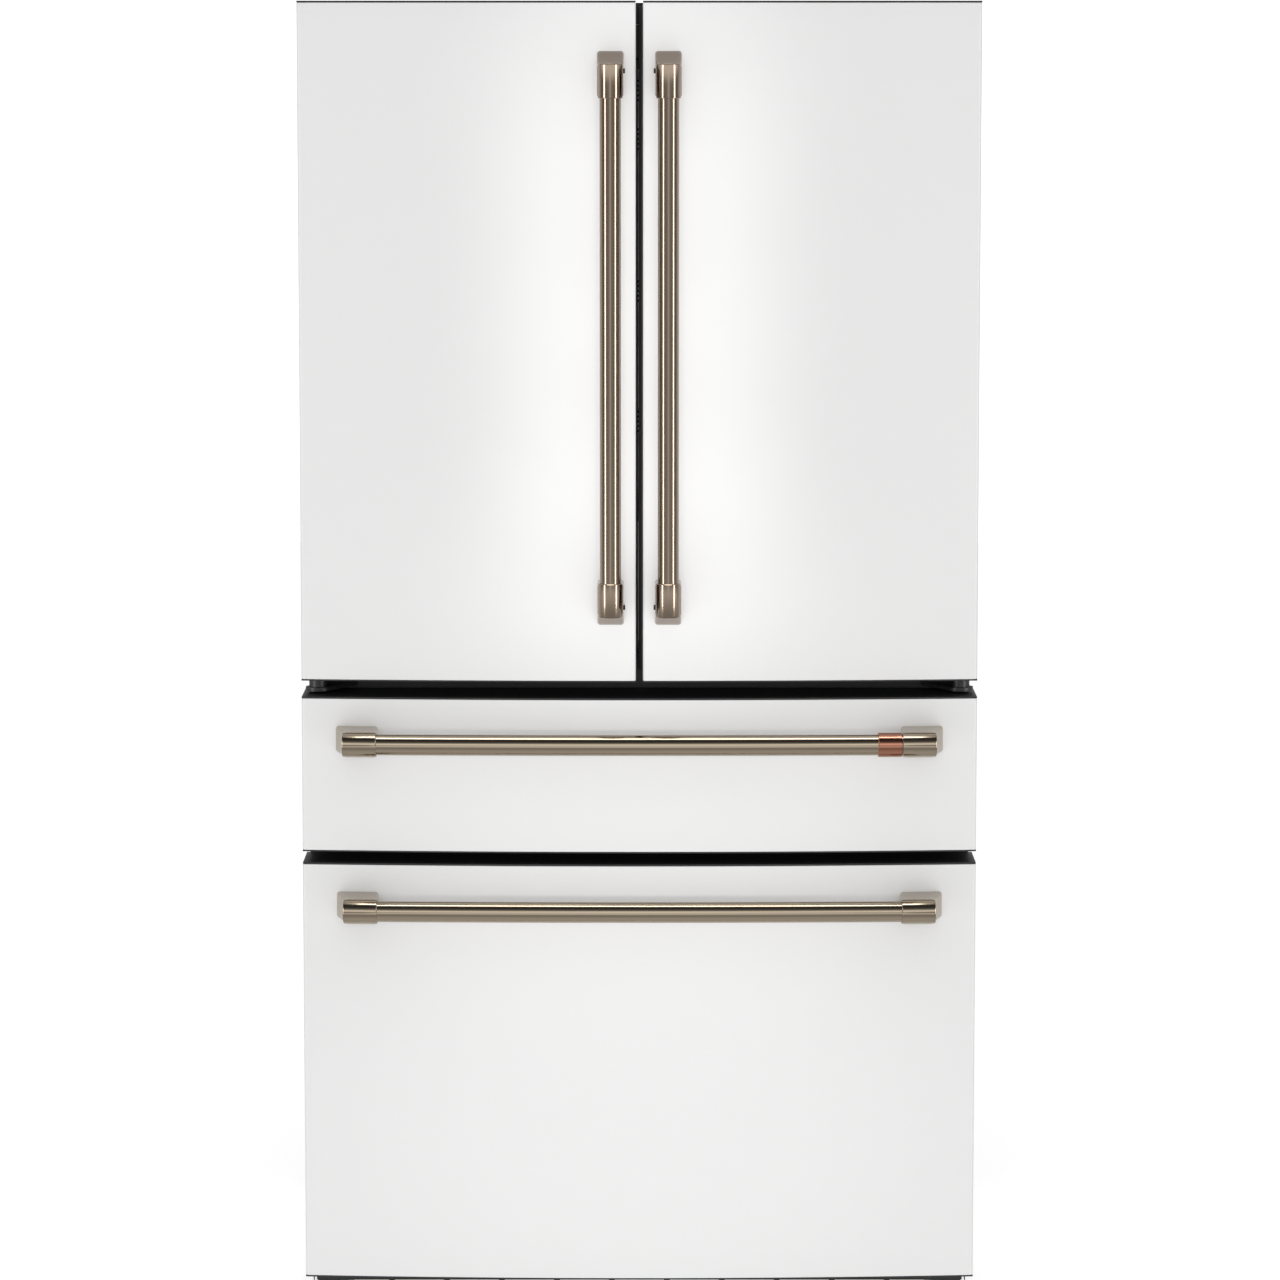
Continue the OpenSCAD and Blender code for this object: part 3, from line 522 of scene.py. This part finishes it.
def door_handle(side):
    sign = -1 if side == "left" else 1
    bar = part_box(f"{side}_door_handle_bar")
    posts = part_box(f"{side}_door_handle_posts")
    body = f"{side}_door"
    x = (bar[0].x + bar[1].x) / 2
    tail = 16.5 * MM
    shape = Shape()
    profile = [(0.0, bar[0].z), (BAR_D / 2, bar[0].z), (BAR_D / 2, bar[1].z), (0.0, bar[1].z)]
    shape.lathe(profile, centre=(x, BAR_Y, 0), segments=72)
    make(f"{side}_handle_bar", shape, body, BRONZE_UP_PAINTED_SHADE, [f"{side}_door_handle_bar"])

    foot = front_y(x) - BAR_Y
    top = Matrix.Translation((x, BAR_Y, posts[1].z - tail)) @ Matrix.Rotation(math.pi / 2, 4, "Y")
    bottom = Matrix.Translation((x, BAR_Y, posts[0].z + tail)) @ Matrix.Rotation(-math.pi / 2, 4, "Y")
    shape = Shape().join(collar(tail, foot), top).join(collar(tail, foot), bottom)
    make(f"{side}_handle_posts", shape, body, BRONZE_UP_PAINTED_SHADE, [f"{side}_door_handle_posts"])

    shape = Shape()
    for place in (top, bottom):
        centre = place @ Vector((SCREW_AT[0], SCREW_AT[1], 0))
        turn = Matrix.Rotation(-sign * math.pi / 2, 4, "Y")
        shape.join(set_screw(), Matrix.Translation(centre - Vector((sign * POST_W / 2, 0, 0))) @ turn)
    make(f"{side}_handle_set_screws", shape, body, DARK_SCREW)


def on_bar(x, z):
    """Places a part at x along a drawer handle's curve, facing along it to the right."""
    turn = math.asin(x / DRAWER_BAR_R)
    centre = Vector((0, BAR_Y + DRAWER_BAR_R, z))
    out = Matrix.Translation((0, -DRAWER_BAR_R, 0))
    return Matrix.Translation(centre) @ Matrix.Rotation(turn, 4, "Z") @ out


def drawer_handle(name, body):
    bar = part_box(f"{name}_handle_bar")
    z = (bar[0].z + bar[1].z) / 2
    reach, spans = bar[1].x, 96
    path = [on_bar(-reach + 2 * reach * k / spans, z).translation for k in range(spans + 1)]
    shape = Shape().tube(path, BAR_D / 2, 72)
    make(f"{name}_bar", shape, body, BRONZE_ACROSS_PAINTED_LIGHT, [f"{name}_handle_bar"])

    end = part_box("drawer_handle_band")[1].x + COLLAR_L
    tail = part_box(f"{name}_handle_posts")[1].x - end - 2 * MM
    foot = front_y(end) - on_bar(end, z).translation.y
    right = on_bar(end, z) @ Matrix.Rotation(math.pi, 4, "Z") @ Matrix.Scale(-1, 4, (0, 1, 0))
    one = Shape().join(collar(tail, foot, -3 * MM), right)
    shape = Shape().join(one).join(one.mirrored())
    make(f"{name}_bar_posts", shape, body, BRONZE_ACROSS_PAINTED_LIGHT, [f"{name}_handle_posts"])


def copper_band():
    """The copper-coloured band, with a plain row of beads where such handles carry a mark."""
    low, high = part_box("drawer_handle_band")
    length = high.x - low.x - 1.2 * MM
    r, edge = COLLAR_D / 2 - 0.1 * MM, 0.7 * MM
    profile = [(BAR_D / 2, 0), (r - edge, 0), (r, edge)]
    profile += [(r, length - edge), (r - edge, length), (BAR_D / 2, length)]
    band = Shape().lathe(profile, axis="x", segments=72)
    dome = [(1.3 * MM * math.cos(a), 0.7 * MM * math.sin(a)) for a in (0, 0.5, 1.0, 1.3)]
    bead = Shape().lathe([(0.0, -0.4 * MM)] + dome + [(0.0, 0.7 * MM)], segments=20)
    tilt = Matrix.Rotation(math.radians(38), 4, "X") @ Matrix.Translation((0, 0, r))
    beads = 5
    for k in range(beads):
        band.join(bead, Matrix.Translation((length * (0.26 + 0.48 * k / (beads - 1)), 0, 0)) @ tilt)
    shape = Shape().join(band, on_bar(low.x + 0.6 * MM, (low.z + high.z) / 2))
    make("drawer_bar_band", shape, "middle_drawer", COPPER, ["drawer_handle_band"])


def handles():
    for side in ("left", "right"):
        door_handle(side)
    drawer_handle("drawer", "middle_drawer")
    drawer_handle("freezer", "freezer_drawer")
    copper_band()


# ---------- cabinet ----------


def wrapper_levels(depths):
    """Levels of the cabinet's folded sheet: two sides and a top with rounded corners, open below."""
    low, high = CASE
    levels = []
    for y, inset in depths:
        lines = []
        for t in (inset, inset + SHEET_T):
            line = rounded((low.x + t, high.x - t), (low.z - 1, high.z - t), 5 * MM)
            arc = [p for p in line if p[1] > low.z]
            lines.append([(a, y, b) for a, b in [(high.x - t, low.z)] + arc + [(low.x + t, low.z)]])
        levels.append(tuple(lines))
    return levels


def screw_head(radius=4.5 * MM, height=3 * MM):
    """Hexagon washer-head sheet-metal screw, along +Z."""
    shape = Shape().lathe([(0, 0), (radius * 1.5, 0), (radius * 1.5, 0.8 * MM), (0, 1.1 * MM)], segments=28)
    head = [(0, 0.8 * MM), (radius, 0.8 * MM), (radius, height - 0.5 * MM)]
    head += [(radius - 0.5 * MM, height), (0, height - 0.3 * MM)]
    return shape.lathe(head, segments=6)


def cabinet():
    front = CASE[0].y
    flange = 2.2 * MM
    rise = [(front + flange, 0.6 * MM), (front + flange + 0.4 * MM, 0.2 * MM)]
    rise.append((front + flange + 1 * MM, 0.0))
    make("cabinet_wrapper", Shape().sheet(wrapper_levels(rise + [(CASE[1].y, 0.0)])), "cabinet", SIDE_WHITE,
         ["cabinet_shell"])
    edge = [(front, 0.5 * MM), (front + 0.4 * MM, 0.1 * MM), (front + flange - 0.1 * MM, 0.1 * MM)]
    make("front_flange_edge", Shape().sheet(wrapper_levels(edge)), "cabinet", BLACK_PAINT)
    keep("front_frame", BLACK_PAINT)
    keep("insulation_foam", FOAM)
    keep("base_frame", BLACK_PAINT, 0.8 * MM)
    keep("top_covers", BLACK, 1.5 * MM)
    keep("door_hinges", BLACK_PAINT, 0.6 * MM)
    for node in ("leveling_leg_left", "leveling_leg_right"):
        keep(node, STEEL, 0.5 * MM)
    keep("rear_rollers", BLACK, 1.2 * MM)
    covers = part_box("top_covers")
    shape = Shape()
    for x in (-0.42, -0.345, 0.345, 0.42):
        shape.join(screw_head(), Matrix.Translation((x, covers[1].y - 25 * MM, covers[1].z - 0.3 * MM)))
    make("top_cover_screws", shape, "cabinet", STEEL)


def grille():
    """Toe grille with long slots and rounded louvre bars between them."""
    low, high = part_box("base_grille")
    pitch, slot_w = 76 * MM, 68 * MM
    rows, row_pitch, slot_z, slot_h = 3, 10 * MM, 15 * MM, 4 * MM
    u_cuts, v_cuts = [low.x], [low.z]
    for i in range(-5, 6):
        u_cuts += [i * pitch - slot_w / 2, i * pitch + slot_w / 2]
    for row in range(rows):
        v_cuts += [slot_z + row * row_pitch, slot_z + slot_h + row * row_pitch]
    u_cuts.append(high.x)
    v_cuts.append(high.z)
    shape = Shape()
    shape.plate("y", u_cuts, v_cuts,
                lambda u, v: u_cuts.index(u[0]) % 2 == 1 and v_cuts.index(v[0]) % 2 == 1,
                low.y + 1 * MM, high.y)
    for row in range(rows + 1):
        z = slot_z - 3 * MM + row * row_pitch
        shape.block((low.x, low.y, z - 2.2 * MM), (high.x, low.y + 3 * MM, z + 2.2 * MM), 1.2 * MM)
    make("toe_grille", shape, "cabinet", BLACK, ["base_grille"])


def rear():
    """Back sheet with pressed ribs, louvred machine cover, screws and the cord's gland."""
    low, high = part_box("rear_panel")
    split = 0.251  # the machine cover's top edge
    sheet_back = high.y - 2 * MM
    shape = Shape()
    depth = sheet_back - SHEET_T
    top_corner = (high.x - 1 * MM, sheet_back, CASE[1].z - 1 * MM)
    shape.block((low.x + 1 * MM, depth, split + 0.3 * MM), top_corner, 0.4 * MM)
    pressing = [(0, 0.0), (0.6, 1.0), (1.4, 1.6), (3.0, 1.8)]
    panel_pitch, panel_half, panel_z, panel_corner = 0.27, 0.1, (0.36, 1.64), 0.04
    for column in (-1, 0, 1):
        x = (column * panel_pitch - panel_half, column * panel_pitch + panel_half)
        foot = sheet_back - 0.2 * MM
        shape.loft([ring("y", x, panel_z, foot + lift * MM, panel_corner, inset * MM)
                    for inset, lift in pressing])
    make("rear_sheet", shape, "cabinet", GALVANISED, ["rear_panel"])

    front, back = low.y + 0.5 * MM, high.y - 1.2 * MM
    bank_x, slot_half = 0.22, 0.17
    rows, row_pitch, slot_z, slot_h = 7, 22 * MM, 70 * MM, 8 * MM
    u_cuts, v_cuts = [low.x + 1 * MM], [low.z]
    for side in (-1, 1):
        u_cuts += [side * bank_x - slot_half, side * bank_x + slot_half]
    for row in range(rows):
        v_cuts += [slot_z + row * row_pitch, slot_z + slot_h + row * row_pitch]
    u_cuts.append(high.x - 1 * MM)
    v_cuts.append(split - 0.3 * MM)
    shape = Shape()
    shape.plate("y", u_cuts, v_cuts,
                lambda u, v: u_cuts.index(u[0]) in (1, 3) and v_cuts.index(v[0]) % 2 == 1, front, back)
    for side in (-1, 1):
        for row in range(rows):
            top = slot_z + slot_h + row * row_pitch
            outer, inner = high.y - 0.2 * MM, high.y - 0.9 * MM
            hood = [(back, top + 3 * MM), (outer, top - 1 * MM), (outer, top - 5 * MM),
                    (inner, top - 5 * MM), (inner, top - 1.4 * MM), (back, top + 1.5 * MM)]
            hood_half = slot_half - 2 * MM
            shape.prism(hood, "x", side * bank_x - hood_half, side * bank_x + hood_half)
    make("machine_cover", shape, "cabinet", GREY_STEEL)

    shape = Shape()
    turn = Matrix.Rotation(-math.pi / 2, 4, "X")
    for x in (-0.435, -0.22, 0.0, 0.22, 0.435):
        for z in (0.055, 0.236 if abs(x) < 0.4 else 0.24):
            shape.join(screw_head(3.2 * MM, 2.2 * MM), Matrix.Translation((x, back - 1 * MM, z)) @ turn)
    for x in (-0.438, 0.438):
        for row in range(8):
            spot = Matrix.Translation((x, sheet_back - 0.2 * MM, 0.30 + row * 0.2))
            shape.join(screw_head(3.2 * MM, 2.2 * MM), spot @ turn)
    make("rear_screws", shape, "cabinet", ZINC)

    shape = Shape()
    r = 10.8 * MM
    profile = [(6.5 * MM, -6 * MM), (r - 2 * MM, -6 * MM), (r - 2 * MM, 0), (r, 0), (r, 2.2 * MM)]
    profile += [(r - 1 * MM, 3 * MM), (7.5 * MM, 3 * MM), (6.5 * MM, 2 * MM)]
    shape.lathe(profile, centre=(-0.385, high.y - 3 * MM, 0.23), axis="y")
    make("cord_gland", shape, "cabinet", RUBBER)


def liners():
    for node in ("fresh_food_liner", "drawer_liner"):
        low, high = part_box(node)
        outer, inner = liner_rings((low.x, high.x), (low.z, high.z), low.y, high.y)
        shape = Shape().loft(outer)
        shape.faces.pop(-2)
        shape.loft(inner)
        shape.faces.pop(-2)
        mouth(shape, outer[0], inner[0])
        make(node + "_shell", shape, "cabinet", LINER, [node])
    keep("freezer_liner", LINER, 1.2 * MM)


def liner_rings(x, z, front, back):
    """Outer and inner rings of a vacuum-formed box, from its mouth to its rounded back."""
    bend, t = 14 * MM, LINER_T
    steps = [math.radians(a) for a in (0, 22, 45, 68, 90)]

    def skin(depth, inset):
        rings = [ring("y", x, z, front, bend, inset)]
        for a in steps:
            fillet = 0.95 * (bend - inset) * (1 - math.cos(a))
            rings.append(ring("y", x, z, depth - bend + bend * math.sin(a), bend, inset + fillet))
        return rings

    return skin(back, 0.0), skin(back - t, t)


def mouth(shape, outer, inner):
    """The narrow face between a shell's outer and inner rings."""
    n = len(outer)
    shape.add(list(outer) + list(inner), [[k, (k + 1) % n, n + (k + 1) % n, n + k] for k in range(n)])


SHELF_Z = (1.27, 1.48)
WALL_X = FRESH[1].x - LINER_T
VENT_Z = (1.15, 1.34, 1.56, 1.63)


def shelves():
    keep("glass_shelves", GLASS, 0.5 * MM)
    keep("shelf_frames", GREY_TRIM, 0.8 * MM)
    keep("crisper_cover", GREY_TRIM, 1.5 * MM)
    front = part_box("shelf_frames")[0].y
    shape = Shape()
    for z in SHELF_Z:
        for side in (-1, 1):
            x = sorted((side * 8 * MM, side * (WALL_X - 6 * MM)))
            shape.block((x[0], front - 2.5 * MM, z - 11 * MM), (x[1], front + 1 * MM, z + 2 * MM), 1.4 * MM)
    make("shelf_front_trims", shape, "cabinet", SATIN_STEEL)


def lamps():
    """Strips on the side walls and a bar in the roof, each in its bezel."""
    low, high = FRESH
    z = (1.12, 1.62)
    y = (low.y + 42 * MM, low.y + 54 * MM)
    lenses, bezels = Shape(), Shape()
    for side in (-1, 1):
        x = sorted((side * (WALL_X - 0.2 * MM), side * (WALL_X - 2.8 * MM)))
        lenses.block((x[0], y[0], z[0]), (x[1], y[1], z[1]), 1.1 * MM)
        x = sorted((side * (WALL_X - 0.1 * MM), side * (WALL_X - 1.8 * MM)))
        bezels.block((x[0], y[0] - 5 * MM, z[0] - 8 * MM), (x[1], y[1] + 5 * MM, z[1] + 8 * MM), 0.8 * MM)
    roof, half, y = high.z - LINER_T, 0.18, (0.02, 0.05)
    lenses.block((-half, y[0], roof - 3 * MM), (half, y[1], roof - 0.2 * MM), 1.3 * MM)
    half += 10 * MM
    bezels.block((-half, y[0] - 8 * MM, roof - 2 * MM), (half, y[1] + 8 * MM, roof + 0.5 * MM), 1 * MM)
    make("lamp_lenses", lenses, "cabinet", LAMP)
    make("lamp_bezels", bezels, "cabinet", GREY_TRIM)


def air_duct():
    """Duct up the middle of the back wall, with groups of slots."""
    back = FRESH[1].y - LINER_T
    half = 0.03
    shape = Shape().block((-half, back - 8 * MM, 1.078), (half, back + 1 * MM, 1.672), 3 * MM)
    make("air_duct", shape, "cabinet", LINER)
    shape = Shape()
    slots, pitch, slot_h, slot_half = 5, 7 * MM, 3 * MM, half - 8 * MM
    for z in VENT_Z:
        for k in range(slots):
            foot = z + k * pitch
            shape.block((-slot_half, back - 8.5 * MM, foot),
                        (slot_half, back - 7.5 * MM, foot + slot_h), 0.4 * MM)
    make("air_vents", shape, "cabinet", BLACK)


def control_panel():
    """Gloss panel with touch pads and indicator lights on its underside."""
    low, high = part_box("control_panel")
    shape = Shape().block(low, high, 5 * MM, 5)
    make("control_fascia", shape, "cabinet", GLOSS_BLACK, ["control_panel"])
    pads, dots = Shape(), Shape()
    count, pitch = 6, 32 * MM
    for k in range(count):
        x = (k - (count - 1) / 2) * pitch
        pads.lathe([(8 * MM, 0.2 * MM), (8 * MM, -0.5 * MM), (6.8 * MM, -0.5 * MM), (6.8 * MM, 0.2 * MM)],
                   centre=(x, low.y + 38 * MM, low.z), segments=32)
        dots.lathe([(0, 0.2 * MM), (1.4 * MM, 0.2 * MM), (1.2 * MM, -0.5 * MM), (0, -0.6 * MM)],
                   centre=(x, low.y + 20 * MM, low.z), segments=16)
    make("control_pads", pads, "cabinet", GREY_TRIM)
    make("control_lights", dots, "cabinet", LAMP)


def open_bin(x, y, z, wall=2.6 * MM, radius=14 * MM, lean=0.0, rim=2 * MM):
    """Moulded bin, open at the top. lean widens its front (low y) or back (high y) side towards the top."""
    foot = 5 * MM
    height = z[1] - z[0]

    def level(depth, inset):
        share = (1 - depth / height) * lean
        box_y = (y[0] - min(0, share), y[1] - max(0, share))
        return ring("z", x, box_y, z[0] + depth, radius, inset)

    steps = [math.radians(a) for a in (0, 30, 60, 90)]
    outside = [level(foot * (1 - math.cos(a)), rim + foot * (1 - math.sin(a))) for a in steps]
    outside += [level(height - 9 * MM, rim), level(height - 8 * MM, 0.0)]
    outside += [level(height - 0.8 * MM, 0.0), level(height, 0.8 * MM)]
    inside = [level(height, rim + wall - 0.8 * MM), level(height - 0.8 * MM, rim + wall)]
    for a in steps[::-1]:
        inside.append(level(wall + foot * (1 - math.cos(a)), rim + wall + foot * (1 - math.sin(a))))
    return outside + inside


BIN_Z = (1.066, 1.25, 1.44)
BIN_H = 98 * MM
BOSS_Z = (0.955, 1.015, 1.195, 1.215, 1.38, 1.40, 1.57, 1.615)


def bins():
    for side in ("left", "right"):
        low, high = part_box(f"{side}_door_bins")
        shape, rails = Shape(), Shape()
        for z in BIN_Z:
            top = z + BIN_H
            shape.loft(open_bin((low.x, high.x), (low.y, high.y), (z, top), lean=14 * MM))
            rails.block((low.x + 16 * MM, high.y - 3 * MM, top - 20 * MM),
                        (high.x - 16 * MM, high.y + 0.6 * MM, top - 9 * MM), 1.6 * MM)
        make(f"{side}_bins", shape, f"{side}_door", CLEAR, [f"{side}_door_bins"])
        make(f"{side}_bin_rails", rails, f"{side}_door", SATIN_STEEL)

        # bosses on the door's raised frame that the bins can hang on
        shape = Shape()
        for z in BOSS_Z:
            for x in ((low.x - 1.5 * MM, low.x + 5 * MM), (high.x - 5 * MM, high.x + 1.5 * MM)):
                shape.block((x[0], low.y + 8 * MM, z), (x[1], low.y + 26 * MM, z + 9 * MM), 2.2 * MM)
        make(f"{side}_bin_bosses", shape, f"{side}_door", LINER)


def crispers():
    for side in ("left", "right"):
        low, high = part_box(f"crisper_{side}")
        lip = 8 * MM
        y = (low.y + lip, high.y)
        shape = Shape().loft(open_bin((low.x, high.x), y, (low.z, high.z), 3 * MM, 16 * MM))
        make(f"{side}_crisper", shape, f"{side}_crisper", CLEAR, [f"crisper_{side}"])
        x = (low.x + 60 * MM, high.x - 60 * MM)
        section = [(9.5, -14), (4, -13), (0, -18), (0.5, -26), (2.5, -26), (3.5, -20), (9.5, -20)]
        grip = [(low.y + depth * MM, high.z + rise * MM) for depth, rise in section]
        shape = Shape().prism(grip, "x", *x)
        make(f"{side}_crisper_grip", shape, f"{side}_crisper", GREY_TRIM)


def rim(low, high, width=7 * MM, drop=9 * MM):
    """A moulded rim round a bin's top."""
    section = [(0.0, -drop), (0.0, -1.2 * MM), (1.2 * MM, 0.0), (width - 1.2 * MM, 0.0)]
    section += [(width, -1.2 * MM), (width, -3 * MM), (2 * MM, -3 * MM), (2 * MM, -drop)]
    rings = [ring("z", (low.x, high.x), (low.y, high.y), high.z + h, 9 * MM, inset) for inset, h in section]
    return Shape().loft(rings, closed=True)


def drawer_insides():
    low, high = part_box("drawer_tub")
    x, y, z = (low.x, high.x), (low.y, high.y), (low.z, high.z)
    shape = Shape().loft(open_bin(x, y, z, 3 * MM, 26 * MM, rim=3 * MM))
    make("middle_drawer_tub", shape, "middle_drawer", LINER, ["drawer_tub"])
    for node, body in (("freezer_lower_basket", "freezer_drawer"),
                       ("freezer_upper_basket", "upper_basket")):
        keep(node, LINER, 1.5 * MM)
        low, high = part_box(node)
        make(node + "_rim", rim(low, high), body, GREY_TRIM)
    keep("slide_rails_fixed", ZINC, 0.3 * MM)
    for name in ("drawer", "freezer"):
        keep(f"{name}_slides_inner", ZINC, 0.3 * MM)
        keep(f"{name}_slides_middle", ZINC, 0.3 * MM)


# ---------- doors and drawers from behind ----------


def gaskets():
    """Magnetic seals with a bellows between the base and the flat magnet strip."""
    bodies = {"left_door": "left_door", "right_door": "right_door",
              "drawer": "middle_drawer", "freezer": "freezer_drawer"}
    for name, body in bodies.items():
        low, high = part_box(f"{name}_gasket")
        y, top = low.y, high.y
        section = [(3, 0), (3, 1.5), (5, 2.5), (2, 4.2), (1, 6), (2, 7.6), (0.3, 9), (0.3, 11), (1.2, 11.8),
                   (13.5, 11.8), (14.6, 11), (14.6, 9), (12.5, 7.6), (13.5, 6), (12, 4.2), (10, 2.5),
                   (12, 1.5), (12, 0)]
        profile = [(inset * MM, min(y + h * MM, top)) for inset, h in section]
        shape = Shape().frame((low.x, high.x), (low.z, high.z), 16 * MM, profile)
        make(f"{name}_seal", shape, body, RUBBER, [f"{name}_gasket"])


def inner_panels():
    for node in ("left_door_liner", "right_door_liner"):
        keep(node, LINER, 3.0 * MM)
    for node in ("drawer_core", "freezer_core"):
        keep(node, LINER, 2.0 * MM)
    keep("flipper_mullion", BLACK, 2.0 * MM)


def machinery():
    keep("compressor", BLACK_PAINT, 1.0 * MM)
    keep("condenser_coil", ALUMINIUM)
    keep("condenser_fan", BLACK, 0.6 * MM)
    keep("evaporator_unit", ALUMINIUM)


# ---------- stage ----------


def stage():
    floor = bpy.data.meshes.new("floor")
    size = 10.0
    corners = [(-size, -size, 0), (size, -size, 0), (size, size, 0), (-size, size, 0)]
    floor.from_pydata(corners, [], [(0, 1, 2, 3)])
    floor_obj = bpy.data.objects.new("floor", floor)
    bpy.context.scene.collection.objects.link(floor_obj)
    pale = surface("pale_floor", (0.93, 0.93, 0.93), 0.8, grain=4, tint=0.005, spread=0.03, bump=0.0,
                   Emission_Color=(1, 1, 1, 1), Emission_Strength=0.45)
    floor.materials.append(pale)
    floor_obj.visible_glossy = False


def lamp(name, kind, location, target, energy, mirrored):
    """A light that looks at a point. mirrored: seen in reflections only, otherwise in none."""
    data = bpy.data.lights.new(name, kind)
    data.energy = energy
    obj = bpy.data.objects.new(name, data)
    bpy.context.scene.collection.objects.link(obj)
    obj.location = location
    obj.rotation_euler = (Vector(target) - Vector(location)).to_track_quat("-Z", "Y").to_euler()
    obj.visible_diffuse = not mirrored
    obj.visible_glossy = mirrored
    return data


def softbox(name, location, target, size, radiance, mirrored=True):
    """A rectangular light. radiance is its face's brightness."""
    data = lamp(name, "AREA", location, target, radiance * math.pi * size[0] * size[1], mirrored)
    data.shape = "RECTANGLE"
    data.size, data.size_y = size


FRONT_Y = -11.0  # where the frontal lights stand

# The brighter middle of the fronts: each light's height, energy and cone in degrees.
GLOWS = [(1.05, 1100, 2.6), (1.25, 1100, 2.6), (1.45, 1100, 2.6), (1.65, 1000, 2.6), (0.75, 400, 5.2),
         (0.35, 320, 5.2)]


def lights():
    away, angle = 3.6, math.radians(56)
    for name, sign in (("left", -1), ("right", 1)):
        spot = (sign * away * math.sin(angle), -away * math.cos(angle) - 0.3, 1.35)
        softbox(f"strip_{name}", spot, (0, -0.3, 1.1), (0.8, 2.8), 7.0)
    softbox("overhead", (0, -0.75, 4.2), (0, -0.5, 0), (2.4, 0.7), 5.0)
    softbox("front", (0, FRONT_Y, 1.4), (0, 0, 1.0), (4.2, 4.2), 6.2, mirrored=False)
    for k, (z, energy, cone) in enumerate(GLOWS):
        glow = lamp(f"glow_{k}", "SPOT", (0, FRONT_Y, z), (0, 0, z), energy, mirrored=False)
        glow.spot_size = math.radians(cone)
        glow.spot_blend = 1.0
        glow.shadow_soft_size = 0.1


def ramp_node(tree, value, stops):
    """A grey level read from (position, level) stops."""
    node = tree.nodes.new("ShaderNodeValToRGB")
    elements = node.color_ramp.elements
    while len(elements) < len(stops):
        elements.new(0.5)
    for element, (position, level) in zip(elements, stops):
        element.position = position
        element.color = (level, level, level, 1)
    tree.links.new(value, node.inputs["Fac"])
    return node.outputs["Color"]


def mix_node(tree, factor, a, b):
    """A mix of two grey levels, each a number or a socket."""
    node = tree.nodes.new("ShaderNodeMix")
    for name, value in (("Factor", factor), ("A", a), ("B", b)):
        if isinstance(value, float):
            node.inputs[name].default_value = value
        else:
            tree.links.new(value, node.inputs[name])
    return node.outputs["Result"]


def math_node(tree, operation, a, b=0.0):
    node = tree.nodes.new("ShaderNodeMath")
    node.operation = operation
    for socket, value in ((node.inputs[0], a), (node.inputs[1], b)):
        if isinstance(value, float):
            socket.default_value = value
        else:
            tree.links.new(value, socket)
    return node.outputs[0]


def world():
    """White behind the object, soft light from above, and a studio for metal to mirror."""
    scene_world = bpy.data.worlds.new("studio")
    bpy.context.scene.world = scene_world
    scene_world.use_nodes = True
    tree = scene_world.node_tree
    place = tree.nodes.new("ShaderNodeTexCoord")
    split = tree.nodes.new("ShaderNodeSeparateXYZ")
    tree.links.new(place.outputs["Generated"], split.inputs["Vector"])
    across, along, up = split.outputs["X"], split.outputs["Y"], split.outputs["Z"]
    path = tree.nodes.new("ShaderNodeLightPath")

    soft = math_node(tree, "ADD", math_node(tree, "MULTIPLY", math_node(tree, "MAXIMUM", up), 0.6), 0.22)
    height = math_node(tree, "ADD", math_node(tree, "MULTIPLY", up, 0.5), 0.5)
    by_height = ramp_node(tree, height, [(0.0, 0.37), (0.09, 0.34), (0.24, 0.2), (0.34, 0.3), (0.42, 0.7),
                                         (0.5, 0.8), (0.62, 0.9), (0.68, 0.5), (0.76, 0.1), (0.9, 0.02),
                                         (0.97, 0.03), (0.99, 0.8)])
    by_side = ramp_node(tree, math_node(tree, "ABSOLUTE", across),
                        [(0.0, 0.62), (0.08, 0.55), (0.2, 0.3), (0.5, 0.22), (0.7, 0.2), (0.95, 0.1),
                         (1.0, 0.2)])
    level_band = ramp_node(tree, math_node(tree, "ABSOLUTE", up), [(0.11, 0.0), (0.17, 1.0)])
    ahead = mix_node(tree, level_band, by_side, by_height)
    behind = ramp_node(tree, math_node(tree, "ADD", math_node(tree, "MULTIPLY", along, 0.5), 0.5),
                       [(0.45, 0.0), (0.65, 1.0)])
    mirrored = math_node(tree, "MULTIPLY", mix_node(tree, behind, ahead, 0.28), 2.0)

    lit = mix_node(tree, path.outputs["Is Glossy Ray"], soft, mirrored)
    seen = mix_node(tree, path.outputs["Is Camera Ray"], lit, 1.2)
    background = tree.nodes["Background"]
    tree.links.new(seen, background.inputs["Strength"])
    background.inputs["Color"].default_value = (1, 1, 1, 1)


VIEW_DISTANCE = 7.063  # from the fronts' outer edges
VIEW_HEIGHT = 1.777
VIEW_TILT = 6.894  # degrees below level


def camera():
    data = bpy.data.cameras.new("camera")
    data.lens = 149.1
    data.shift_x = 0.0005
    data.sensor_width = 36.0
    data.clip_end = 100.0
    obj = bpy.data.objects.new("camera", data)
    bpy.context.scene.collection.objects.link(obj)
    edge = APEX_Y + BOW
    obj.location = (0, edge - VIEW_DISTANCE, VIEW_HEIGHT)
    obj.rotation_euler = (math.radians(90 - VIEW_TILT), 0, 0)
    bpy.context.scene.camera = obj


bpy.context.scene.view_settings.view_transform = "Standard"
fronts()
centre_seal()
handles()
cabinet()
grille()
rear()
liners()
shelves()
lamps()
air_duct()
control_panel()
bins()
crispers()
drawer_insides()
gaskets()
inner_panels()
machinery()
stage()
lights()
world()
camera()
